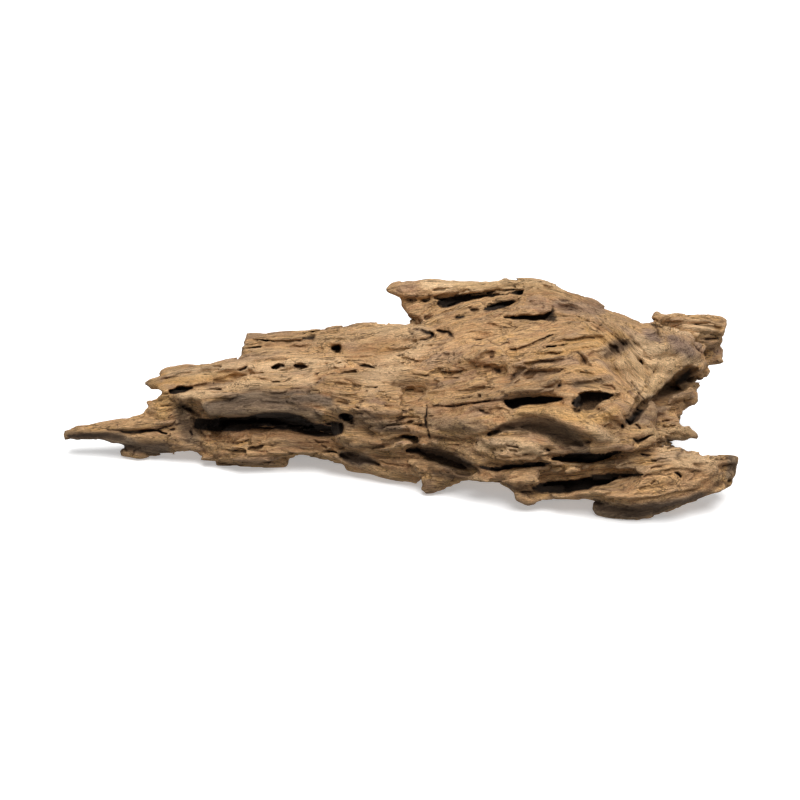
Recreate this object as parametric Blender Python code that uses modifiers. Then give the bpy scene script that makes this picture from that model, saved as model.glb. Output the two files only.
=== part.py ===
"""Honeycomb wood: one weathered, hollowed piece of driftwood, lying on three low points of its own.

Run it with blender --background --python part.py, or from Blender's text editor. Metres, +Z up.
The grain runs along X, with the broad butt at +X and the frayed tip at -X. The side that the
photograph shows faces -Y. The wood is grown from strands, tapering runs of grain that are fused
into one body. It is then fluted along the grain and worn hollow by gouges. The stations of both
are places on the picture plane: a strand's have a depth along Y, and a gouge's lie on the surface
that is seen there.
"""

import math
import random
from dataclasses import dataclass

import bmesh
import bpy
from mathutils import Matrix, Vector
from mathutils.bvhtree import BVHTree

NAME = "honeycomb_wood"
MM = 0.001

# The picture plane on which the shape was read: 800 x 800 places, seen from above the horizon.
PICTURE_SIDE = 800
PICTURE_WIDTH = 0.480
VIEW_DISTANCE = 1.133
VIEW_TILT = math.radians(25.0)
VIEW_CENTRE = Vector((0.0, 0.0, 0.0444))
AHEAD = Vector((0.0, math.cos(VIEW_TILT), -math.sin(VIEW_TILT)))
UPWARD = Vector((0.0, math.sin(VIEW_TILT), math.cos(VIEW_TILT)))
EYE = VIEW_CENTRE - AHEAD * VIEW_DISTANCE

BODY_VOXEL = 1.6 * MM
GOUGE_VOXEL = 1.0 * MM
WORN_VOXEL = 1.5 * MM
FACET_SHARE = 0.053

WOOD_COLOUR = (0.30, 0.19, 0.10, 1.0)
WOOD_ROUGHNESS = 0.85


@dataclass(frozen=True)
class Run:
    """A tapering run of grain, or of wear along it, from left to right.

    A strand's stations are (column, row, depth in mm, radius in mm). A gouge's are (column, row,
    sink in mm behind the surface, radius in mm). flat is the height of the section over its width.
    """

    name: str
    stations: tuple
    flat: float = 1.0


STRANDS = (
    # The heart of the wood, which the outer lobes grow from.
    Run("core_back", ((300, 366, 58, 9), (340, 362, 58, 15), (411, 357, 56, 18), (470, 348, 52, 25),
                      (540, 343, 46, 30), (600, 352, 34, 27), (650, 365, 25, 22))),
    Run("core_middle", ((215, 392, 32, 9), (300, 390, 28, 17), (420, 392, 20, 27), (520, 388, 10, 36),
                        (600, 385, 3, 37), (650, 392, -2, 25))),
    Run("core_front", ((340, 420, -4, 14), (430, 430, -12, 25), (520, 425, -28, 30), (600, 425, -35, 30),
                       (645, 430, -34, 24))),
    # The frayed end at the left: a spike with its flap, and two prongs of broken grain.
    Run("spike", ((65, 437, 14, 1.2), (76, 434, 14, 3.4), (100, 432, 14, 5), (118, 431, 14, 6),
                  (145, 430, 14, 7.5), (180, 430, 14, 10), (205, 431, 14, 11))),
    Run("flap", ((121, 450, 11, 4.2), (140, 449, 11, 6.2), (165, 446, 11, 6.4), (190, 441, 13, 6))),
    Run("prong_high", ((147, 382, 24, 1.5), (157, 381, 25, 3.0), (180, 380, 27, 5.0), (215, 378, 30, 6),
                       (250, 376, 33, 7))),
    Run("prong_low", ((149, 404, 18, 2.8), (160, 402, 18, 5.4), (180, 401, 18, 8.5), (215, 404, 18, 10))),
    Run("web", ((158, 418, 15, 5.5), (180, 420, 14, 8), (205, 425, 16, 9))),
    Run("crest_left", ((161, 376, 32, 3.0), (175, 376, 33, 5.0), (200, 374, 35, 6), (245, 369, 40, 7.5),
                       (300, 370, 44, 10))),
    # The shelf over the long hollow, and the lobe under it.
    Run("front_shelf", ((178, 393, 6, 3), (192, 399, 6, 9), (215, 399, 8, 13), (250, 398, 8, 15),
                        (300, 399, 6, 16), (340, 402, 0, 19), (400, 412, -8, 24)), 0.7),
    Run("lower_shelf", ((200, 446, 6, 4), (211, 447, 3, 7.5), (240, 447, 0, 11), (275, 448, 0, 11.3),
                        (290, 446, -1, 9.3), (325, 447, -4, 8.5), (345, 452, -8, 10), (385, 462, -16, 9.3),
                        (420, 469, -27, 8.5))),
    # The plate along the back, with its blunt left end, and the flap that rises behind it.
    Run("back_plate", ((243, 346, 62, 11.5), (262, 346, 62, 12.5), (300, 345, 62, 14.5),
                       (340, 345, 60, 16), (411, 341, 60, 19), (470, 335, 58, 22)), 0.5),
    Run("back_rim", ((386, 288, 78, 2.6), (400, 291, 76, 6.4), (425, 293, 75, 8), (460, 295, 74, 9.2),
                     (500, 296, 72, 10.5), (541, 298, 68, 11), (573, 311, 62, 12), (600, 321, 55, 12))),
    Run("rim_foot", ((411, 312, 70, 4), (440, 320, 68, 9), (500, 324, 62, 14), (560, 329, 54, 17),
                     (620, 347, 42, 18))),
    # The broad butt at the right: the smooth fan, the block behind it, and the rough broken end.
    Run("fan", ((575, 350, 16, 22), (615, 358, 12, 26), (648, 360, 10, 24), (680, 356, 13, 15),
                (705, 356, 20, 7))),
    Run("block", ((652, 333, 47, 8), (664, 336, 46, 12.5), (685, 340, 45, 15.5), (708, 341, 45, 15.5),
                  (720, 342, 44, 13.5))),
    Run("butt_knob", ((680, 380, 14, 9), (700, 375, 18, 5.5), (705, 374, 19, 4))),
    Run("butt_rough", ((635, 398, -4, 20), (665, 397, 4, 15), (689, 394, 10, 9), (694, 394, 10, 6))),
    Run("butt_tip", ((630, 435, -26, 18), (660, 435, -20, 11), (688, 433, -16, 4.5), (698, 437, -15, 1.8))),
    # The low front: the foot at the right, the belly beside it, and the spurs that reach down.
    Run("foot", ((593, 495, -58, 10), (610, 491, -58, 15.5), (640, 488, -59, 17.5), (665, 483, -57, 17.5),
                 (700, 476, -52, 13.2), (725, 470, -44, 9.6), (733, 468, -41, 7.5))),
    Run("belly", ((395, 457, -18, 10), (430, 460, -28, 11), (460, 459, -36, 11), (490, 461, -42, 11),
                  (515, 471, -47, 14), (545, 475, -48, 15.2), (600, 474, -51, 17), (640, 462, -45, 18))),
    Run("spur", ((440, 470, -34, 8), (430, 479, -35, 7), (422, 487, -36, 4.5))),
    # The lobe that closes the long hollow and carries the back, out of the view.
    Run("back_foot", ((190, 423, 24, 9), (220, 421, 34, 10), (280, 416, 40, 12), (340, 410, 44, 14),
                      (420, 404, 50, 15), (490, 405, 57, 16), (550, 405, 60, 16), (605, 397, 57, 13),
                      (655, 382, 50, 9))),
)

# Two hollows whose stations have depths, because they open past the wood's edge or between lobes.
PRONG_NOTCH = Run("prong_notch", ((138, 391, 20, 5), (150, 391, 20, 3.5), (160, 390, 20, 2.5)))
UNDER_SHELF = Run("under_shelf", ((198, 425, -4, 9), (216, 426, -4, 22), (255, 423, -4, 28),
                                  (300, 423, -4, 28), (322, 429, -4, 26), (337, 430, -6, 16)), 0.17)

GOUGES = (
    # The slots in the flap at the back.
    Run("slot_high", ((437, 302, 2, 9), (455, 301, 2, 12), (480, 298, 2, 10), (524, 292, 2, 5)), 0.22),
    Run("slot_middle", ((489, 309, 1, 6), (500, 305, 1, 9), (516, 301, 1, 5)), 0.3),
    Run("slot_low", ((500, 318, 1, 5), (525, 320, 1, 9), (552, 321, 1, 10)), 0.22),
    # The slots across the front.
    Run("slot_tongue", ((503, 401, -2, 4), (514, 403, -2, 7), (535, 401, -2, 7), (562, 397, -2, 4)), 0.6),
    Run("pocket", ((577, 405, 0, 7), (588, 404, 0, 9), (604, 399, 0, 7), (616, 395, 0, 4)), 0.75),
    Run("slot_lens", ((555, 456, 1, 6), (575, 458, 1, 12), (600, 458, 1, 13), (620, 453, 1, 6)), 0.25),
    Run("slot_wedge", ((525, 488, 1, 5), (548, 488, 1, 14), (585, 486, 1, 16), (612, 481, 1, 12),
                       (638, 476, 1, 6)), 0.27),
    Run("slot_thin", ((484, 470, 1, 6), (510, 468, 1, 9), (550, 464, 1, 6)), 0.2),
    Run("scoop", ((500, 430, -3, 6), (535, 432, -4, 10), (570, 438, -3, 9), (592, 446, -1, 6)), 0.7),
    Run("trough", ((412, 452, 0, 7), (440, 460, -1, 9), (478, 470, 1, 7)), 0.6),
    Run("shelf_gap", ((170, 388, 3, 5), (190, 387, 3, 9), (215, 385, 2, 9), (235, 383, 1, 5)), 0.35),
    # The cleft that splits the butt under the fan.
    Run("cleft", ((694, 371, 4, 6), (672, 384, 6, 9), (652, 402, 5, 8), (628, 418, 4, 6)), 0.8),
    Run("butt_hollow", ((650, 422, 0, 4), (662, 421, 0, 5)), 0.6),
)


@dataclass(frozen=True)
class Bore:
    """A round worm bore in the face that is seen: its place on the picture plane, radius and depth."""

    column: float
    row: float
    radius: float
    depth: float


BORES = (
    Bore(346, 417, 3.6, 16),
    Bore(415, 448, 3.6, 18),
    Bore(409, 438, 2.6, 10),
    Bore(337, 348, 3.0, 12),
    Bore(311, 337, 3.0, 9),
    Bore(277, 367, 3.0, 10),
    Bore(300, 367, 3.2, 11),
    Bore(365, 365, 2.6, 7),
    Bore(423, 334, 3.6, 8),
    Bore(446, 334, 3.2, 8),
    Bore(461, 317, 2.2, 8),
    Bore(616, 347, 4.5, 7),
    Bore(490, 351, 3.2, 4),
    Bore(501, 371, 4.0, 5),
    Bore(529, 372, 4.2, 5),
    Bore(584, 360, 4.0, 6),
)


@dataclass(frozen=True)
class Relief:
    """Wear in the grain: its reach, and the size and the shift of its waves along X, Y and Z, in mm."""

    name: str
    reach: float
    waves: tuple
    shift: tuple
    along: str


LEDGES = Relief("ledges", 5.5, (260.0, 55.0, 14.0), (-378.0, 46.0, -26.0), "NORMAL")
FLUTES = Relief("flutes", 5.2, (90.0, 16.0, 9.0), (4.0, -15.0, -16.0), "NORMAL")
WARP = Relief("warp", 9.5, (50.0, 30.0, 20.0), (11.0, 32.0, 15.0), "RGB_TO_XYZ")

@dataclass(frozen=True)
class PitField:
    """Honeycomb pits in a side that the view doesn't reach, drawn from a seed.

    The pits are found by looking at the wood along ahead, from a window that spans the low and the
    high corner, in mm. steepest is how far a pitted face may turn from the look.
    """

    count: int
    ahead: tuple
    low: tuple
    high: tuple
    steepest: float = 0.45


BACK_PITS = PitField(44, (0, -1, 0), (-170, 300, 12), (190, 300, 90))
UNDER_PITS = PitField(36, (0, 0, 1), (-170, -60, -200), (190, 70, -200))
PIT_SEED = 27
PIT_RADII = (3.0, 6.0)
PIT_LENGTH_OVER_RADIUS = (1.2, 4.0)
PIT_SLOPE = 0.15
PIT_SHOULDER = 0.6
PIT_SINK_SHARE = 0.15
PIT_CLEAR_OF_FLOOR = 12 * MM

FLOOR_THICKNESS = 30 * MM
FLOOR_SPAN = 600 * MM
FOOT_WEAR = 0.6 * MM


def picture_ray(column: float, row: float) -> Vector:
    """The direction in which this place of the picture plane is seen."""
    spread = PICTURE_WIDTH / VIEW_DISTANCE / PICTURE_SIDE
    half = PICTURE_SIDE / 2
    ray = AHEAD + Vector((1, 0, 0)) * (column - half) * spread + UPWARD * (half - row) * spread
    return ray.normalized()


def seen_at(column: float, row: float, depth_mm: float) -> Vector:
    """The point in space at this depth along Y that is seen at this place of the picture plane."""
    ray = picture_ray(column, row)
    return EYE + ray * ((depth_mm * MM - EYE.y) / ray.y)


def tube_mesh(name: str, places: list, radii: list, flat: float) -> bpy.types.Mesh:
    """A closed tube through these places, with its section flattened along Z."""
    curve = bpy.data.curves.new(name, "CURVE")
    curve.dimensions = "3D"
    curve.resolution_u = 6
    curve.bevel_depth = 1.0
    curve.bevel_resolution = 4
    curve.use_fill_caps = True
    spline = curve.splines.new("BEZIER")
    spline.bezier_points.add(len(places) - 1)
    for point, place, radius in zip(spline.bezier_points, places, radii):
        point.co = (place.x, place.y, place.z / flat)
        point.handle_left_type = point.handle_right_type = "AUTO"
        point.radius = radius * MM
    tube = bpy.data.objects.new(name, curve)
    bpy.context.scene.collection.objects.link(tube)
    bpy.context.view_layer.update()
    mesh = bpy.data.meshes.new_from_object(tube.evaluated_get(bpy.context.evaluated_depsgraph_get()))
    mesh.transform(Matrix.Diagonal((1, 1, flat, 1)))
    bpy.data.objects.remove(tube)
    bpy.data.curves.remove(curve)
    return mesh


def strand_mesh(strand: Run) -> bpy.types.Mesh:
    """The strand as a tube through its stations."""
    places = [seen_at(column, row, depth) for column, row, depth, _ in strand.stations]
    return tube_mesh(strand.name, places, [station[3] for station in strand.stations], strand.flat)


def surface_at(tree: BVHTree, column: float, row: float) -> tuple:
    """The point of the wood that is seen at this place of the picture plane, and its normal."""
    place, normal, _, _ = tree.ray_cast(EYE, picture_ray(column, row))
    if place is None:
        raise ValueError(f"nothing is seen at column {column}, row {row}")
    return place, normal


def gouge_mesh(tree: BVHTree, gouge: Run) -> bpy.types.Mesh:
    """The gouge as a tube through the surface places that its stations name."""
    behind = Vector((0, MM, 0))
    places = [surface_at(tree, column, row)[0] + behind * sink for column, row, sink, _ in gouge.stations]
    return tube_mesh(gouge.name, places, [station[3] for station in gouge.stations], gouge.flat)


def bore_mesh(tree: BVHTree, bore: Bore) -> bpy.types.Mesh:
    """The bore as a tube that runs into the wood, between the view and the surface's own normal."""
    place, normal = surface_at(tree, bore.column, bore.row)
    inward = (picture_ray(bore.column, bore.row) - normal).normalized()
    mouth = place - inward * bore.radius * MM
    end = place + inward * bore.depth * MM
    return tube_mesh("bore", [mouth, end], [bore.radius, bore.radius * 0.8], 1.0)


def pit_mesh(place: Vector, normal: Vector, draw: random.Random) -> bpy.types.Mesh:
    """A pit along the grain, deepest at this place of the surface."""
    radius = draw.uniform(*PIT_RADII)
    length = radius * draw.uniform(*PIT_LENGTH_OVER_RADIUS) * MM
    reach = Vector((length, 0, length * draw.uniform(-PIT_SLOPE, PIT_SLOPE)))
    sink = normal * radius * PIT_SINK_SHARE * MM
    places = [place - reach - sink, place - sink * 3, place + reach - sink]
    return tube_mesh("pit", places, [radius * PIT_SHOULDER, radius, radius * PIT_SHOULDER], 1.0)


def hidden_pits(tree: BVHTree, field: PitField, draw: random.Random) -> list:
    """The pits of one field, each where a look from a random place of its window meets the wood."""
    ahead = Vector(field.ahead)
    pits = []
    while len(pits) < field.count:
        start = Vector([draw.uniform(low, high) * MM for low, high in zip(field.low, field.high)])
        place, normal, _, _ = tree.ray_cast(start, ahead)
        if place is None or normal.dot(ahead) > -field.steepest or place.z < PIT_CLEAR_OF_FLOOR:
            continue
        pits.append(pit_mesh(place, normal, draw))
    return pits


def joined(name: str, meshes: list, collection: bpy.types.Collection) -> bpy.types.Object:
    """One object that holds all of these meshes, with the tubes' loose caps welded."""
    together = bmesh.new()
    for mesh in meshes:
        together.from_mesh(mesh)
        bpy.data.meshes.remove(mesh)
    bmesh.ops.remove_doubles(together, verts=together.verts, dist=0.00001)
    mesh = bpy.data.meshes.new(name)
    together.to_mesh(mesh)
    together.free()
    made = bpy.data.objects.new(name, mesh)
    collection.objects.link(made)
    return made


def fuse(obj: bpy.types.Object, voxel: float) -> None:
    """Melt what overlaps in the object into one skin of this voxel size."""
    modifier = obj.modifiers.new("Fuse", "REMESH")
    modifier.mode = "VOXEL"
    modifier.voxel_size = voxel
    modifier.use_smooth_shade = True


def wear(
    obj: bpy.types.Object, relief: Relief, texture: bpy.types.Texture, guides: bpy.types.Collection
) -> None:
    """Displace the object's skin by the texture, with its waves stretched along the grain."""
    guide = bpy.data.objects.new(relief.name, None)
    guide.location = [shift * MM for shift in relief.shift]
    guide.scale = [wave * MM for wave in relief.waves]
    guide.hide_render = True
    guides.objects.link(guide)
    modifier = obj.modifiers.new(relief.name, "DISPLACE")
    modifier.texture = texture
    modifier.strength = relief.reach * MM
    modifier.direction = relief.along
    modifier.texture_coords = "OBJECT"
    modifier.texture_coords_object = guide


def ledge_texture() -> bpy.types.Texture:
    """Layers of grain that break off in steps, one above the other."""
    texture = bpy.data.textures.new("ledges", "MARBLE")
    texture.marble_type = "SOFT"
    texture.noise_basis = "IMPROVED_PERLIN"
    texture.noise_basis_2 = "SAW"
    texture.noise_scale = 1.1
    texture.noise_depth = 2
    texture.turbulence = 6.0
    return texture


def flute_texture() -> bpy.types.Texture:
    """Sharp crests with rounded hollows between them."""
    texture = bpy.data.textures.new("flutes", "MUSGRAVE")
    texture.musgrave_type = "RIDGED_MULTIFRACTAL"
    texture.noise_basis = "IMPROVED_PERLIN"
    texture.noise_scale = 1.0
    texture.octaves = 3
    texture.gain = 1.5
    texture.noise_intensity = 0.6
    return texture


def warp_texture() -> bpy.types.Texture:
    """Soft drift that bends the crests out of line."""
    texture = bpy.data.textures.new("warp", "CLOUDS")
    texture.noise_basis = "IMPROVED_PERLIN"
    texture.noise_scale = 1.0
    texture.noise_depth = 2
    texture.cloud_type = "COLOR"
    return texture


def as_cutter(obj: bpy.types.Object) -> bpy.types.Object:
    """Mark the object as a cutter, which isn't part of the wood."""
    obj.hide_render = True
    obj.display_type = "WIRE"
    return obj


def cut(obj: bpy.types.Object, cutter: bpy.types.Object, solver: str = "EXACT") -> None:
    """Take the cutter's shape out of the object."""
    modifier = obj.modifiers.new(cutter.name, "BOOLEAN")
    modifier.operation = "DIFFERENCE"
    modifier.solver = solver
    modifier.object = cutter


def floor_block(collection: bpy.types.Collection) -> bpy.types.Object:
    """The block under the wood, whose top wears the low points flat."""
    shape = bmesh.new()
    bmesh.ops.create_cube(shape, size=1.0)
    mesh = bpy.data.meshes.new("floor")
    shape.to_mesh(mesh)
    shape.free()
    block = bpy.data.objects.new("floor", mesh)
    block.scale = (FLOOR_SPAN, FLOOR_SPAN, FLOOR_THICKNESS)
    block.location.z = FOOT_WEAR - FLOOR_THICKNESS / 2
    collection.objects.link(block)
    return as_cutter(block)


def wood_material() -> bpy.types.Material:
    """Dry, bleached brown wood."""
    material = bpy.data.materials.new("weathered_wood")
    material.use_nodes = True
    shader = material.node_tree.nodes["Principled BSDF"]
    shader.inputs["Base Color"].default_value = WOOD_COLOUR
    shader.inputs["Roughness"].default_value = WOOD_ROUGHNESS
    shader.inputs["Metallic"].default_value = 0.0
    return material


def stand_on_origin(anchor: bpy.types.Object, wood: bpy.types.Object) -> None:
    """Move the wood, with all that shapes it, until the middle of its box's bottom is the origin."""
    bpy.context.view_layer.update()
    for obj in bpy.context.scene.objects:
        if obj is not anchor:
            obj.parent = anchor
    shaped = wood.evaluated_get(bpy.context.evaluated_depsgraph_get())
    corners = [Vector(corner) for corner in shaped.bound_box]
    lowest = Vector(min(corner[axis] for corner in corners) for axis in range(3))
    highest = Vector(max(corner[axis] for corner in corners) for axis in range(3))
    middle = (lowest + highest) / 2
    anchor.location = (-middle.x, -middle.y, -lowest.z)


def new_collection(name: str) -> bpy.types.Collection:
    """An empty collection in the scene."""
    collection = bpy.data.collections.new(name)
    bpy.context.scene.collection.children.link(collection)
    return collection


def main() -> None:
    """Grow the strands, wear the grain, cut the hollows and flatten the low points."""
    for old in list(bpy.data.objects):
        bpy.data.objects.remove(old)
    parts = new_collection(NAME)
    cutters = new_collection("cutters")

    wood = joined(NAME, [strand_mesh(strand) for strand in STRANDS], parts)
    wood.data.materials.append(wood_material())
    fuse(wood, BODY_VOXEL)
    wear(wood, LEDGES, ledge_texture(), cutters)
    wear(wood, FLUTES, flute_texture(), cutters)
    wear(wood, WARP, warp_texture(), cutters)

    tree = BVHTree.FromObject(wood, bpy.context.evaluated_depsgraph_get())
    hollows = [strand_mesh(hollow) for hollow in (UNDER_SHELF, PRONG_NOTCH)]
    hollows += [gouge_mesh(tree, gouge) for gouge in GOUGES]
    hollows += [bore_mesh(tree, bore) for bore in BORES]
    draw = random.Random(PIT_SEED)
    hollows += hidden_pits(tree, BACK_PITS, draw) + hidden_pits(tree, UNDER_PITS, draw)
    worn_away = as_cutter(joined("hollows", hollows, cutters))
    fuse(worn_away, GOUGE_VOXEL)
    # The exact solver loses the body where worn skin folds over itself.
    cut(wood, worn_away, "MANIFOLD")
    fuse(wood, WORN_VOXEL)

    facets = wood.modifiers.new("Facets", "DECIMATE")
    facets.ratio = FACET_SHARE
    cut(wood, floor_block(cutters))

    anchor = bpy.data.objects.new("rest_point", None)
    cutters.objects.link(anchor)
    stand_on_origin(anchor, wood)


main()
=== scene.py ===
"""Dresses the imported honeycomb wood: a long, hollowed piece of weathered driftwood on a pale floor.

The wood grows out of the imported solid.
Its distance field is softened, cut and raised by strokes that are placed on the picture plane, and
then worn by relief that follows the grain on every side, also where the camera does not look.
"""

import logging
import math
from concurrent.futures import ThreadPoolExecutor
from dataclasses import dataclass, field
from enum import Enum
from typing import Callable

import bpy
import numpy as np
import openvdb
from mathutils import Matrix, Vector
from mathutils.bvhtree import BVHTree

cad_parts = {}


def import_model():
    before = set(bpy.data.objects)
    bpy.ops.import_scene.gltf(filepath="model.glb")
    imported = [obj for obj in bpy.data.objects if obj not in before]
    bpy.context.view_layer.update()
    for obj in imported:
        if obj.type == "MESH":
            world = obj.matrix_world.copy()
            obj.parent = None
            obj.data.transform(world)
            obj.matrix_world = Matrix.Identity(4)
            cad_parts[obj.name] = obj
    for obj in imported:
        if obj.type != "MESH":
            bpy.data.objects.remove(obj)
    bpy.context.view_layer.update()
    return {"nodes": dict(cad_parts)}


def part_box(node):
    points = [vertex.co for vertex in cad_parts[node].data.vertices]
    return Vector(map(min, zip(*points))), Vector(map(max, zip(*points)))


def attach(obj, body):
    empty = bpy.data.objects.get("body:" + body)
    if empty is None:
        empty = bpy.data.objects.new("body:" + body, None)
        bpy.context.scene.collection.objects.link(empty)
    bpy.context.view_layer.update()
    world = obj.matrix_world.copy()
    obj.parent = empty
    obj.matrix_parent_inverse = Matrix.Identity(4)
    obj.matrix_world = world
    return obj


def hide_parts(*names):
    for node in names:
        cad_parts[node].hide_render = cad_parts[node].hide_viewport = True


LOG = logging.getLogger("honeycomb_wood")

NODE = "honeycomb_wood"
SLOT = "weathered_wood"
BODY = "root"

MM = 0.001
PICTURE_SIDE = 800
PICTURE_WIDTH = 0.480
SENSOR_WIDTH = 36.0
VIEW_DISTANCE = 1.133
VIEW_TILT = math.radians(25.0)
VIEW_CENTRE = (0.0026, -0.0024, 0.0438)
FAR_OUTSIDE = 20.0


class Profile(Enum):
    """How a stroke changes the surface across its width."""

    GOUGE = "round-bottomed hollow"
    TRENCH = "steep-walled hollow"
    LEDGE = "edge that drops on the right-hand side of the stroke and rises back slowly"
    RIDGE = "rounded strand that stands up"
    CUT = "outline: what lies inside it is taken away"


@dataclass(frozen=True)
class Stroke:
    """One mark on the picture plane.

    Stations are column, row and half width in pixels of the picture, and the depth is in millimetres.
    A positive darkening value paints shade along the stroke, in slots, hollows and undersides, and in
    places a dark stain of the wood.
    """

    name: str
    profile: Profile
    depth: float
    stations: tuple
    stain_and_shade: float = 0.0


@dataclass(frozen=True)
class Growth:
    """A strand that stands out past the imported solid's facets.

    Stations are column, row, place along Y in millimetres and radius in millimetres. A bite is a strand of
    the same kind that is taken away.
    """

    name: str
    stations: tuple
    bite: bool = False

    def places(self, view: "PictureView") -> np.ndarray:
        """Places the strand in the wood.

        Args:
            view: The camera of the picture.

        Returns:
            A point and a radius for each station, in millimetres.
        """
        rows = []
        for column, row, along_y, radius in self.stations:
            ray = view.ray(column, row)
            point = (view.eye + ray * ((along_y * MM - view.eye.y) / ray.y)) / MM
            rows.append((*point, radius))
        return np.array(rows)


class Tone(Enum):
    """What a part of the surface gets: a colour from weather or heartwood, grey mixed with painted shade,
    painted light, or an even, worn face.
    """

    # Grey, mixed with painted shade on undersides, hollows and faces turned from the light.
    GREY = "grey"
    GOLD = "gold"
    PURPLE = "purple"
    RED = "red"
    # Painted light on faces that catch the light.
    PALE = "pale"
    WORN = "worn"


GOUGE, TRENCH, LEDGE, RIDGE, CUT = Profile
GREY, GOLD, PURPLE, RED, PALE, WORN = Tone


@dataclass(frozen=True)
class Tint:
    """A soft patch on the picture plane: a colour, painted light on pale patches, painted shade on grey
    ones; its stations are those of a stroke.
    """

    name: str
    tone: Tone
    strength: float
    stations: tuple
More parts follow.
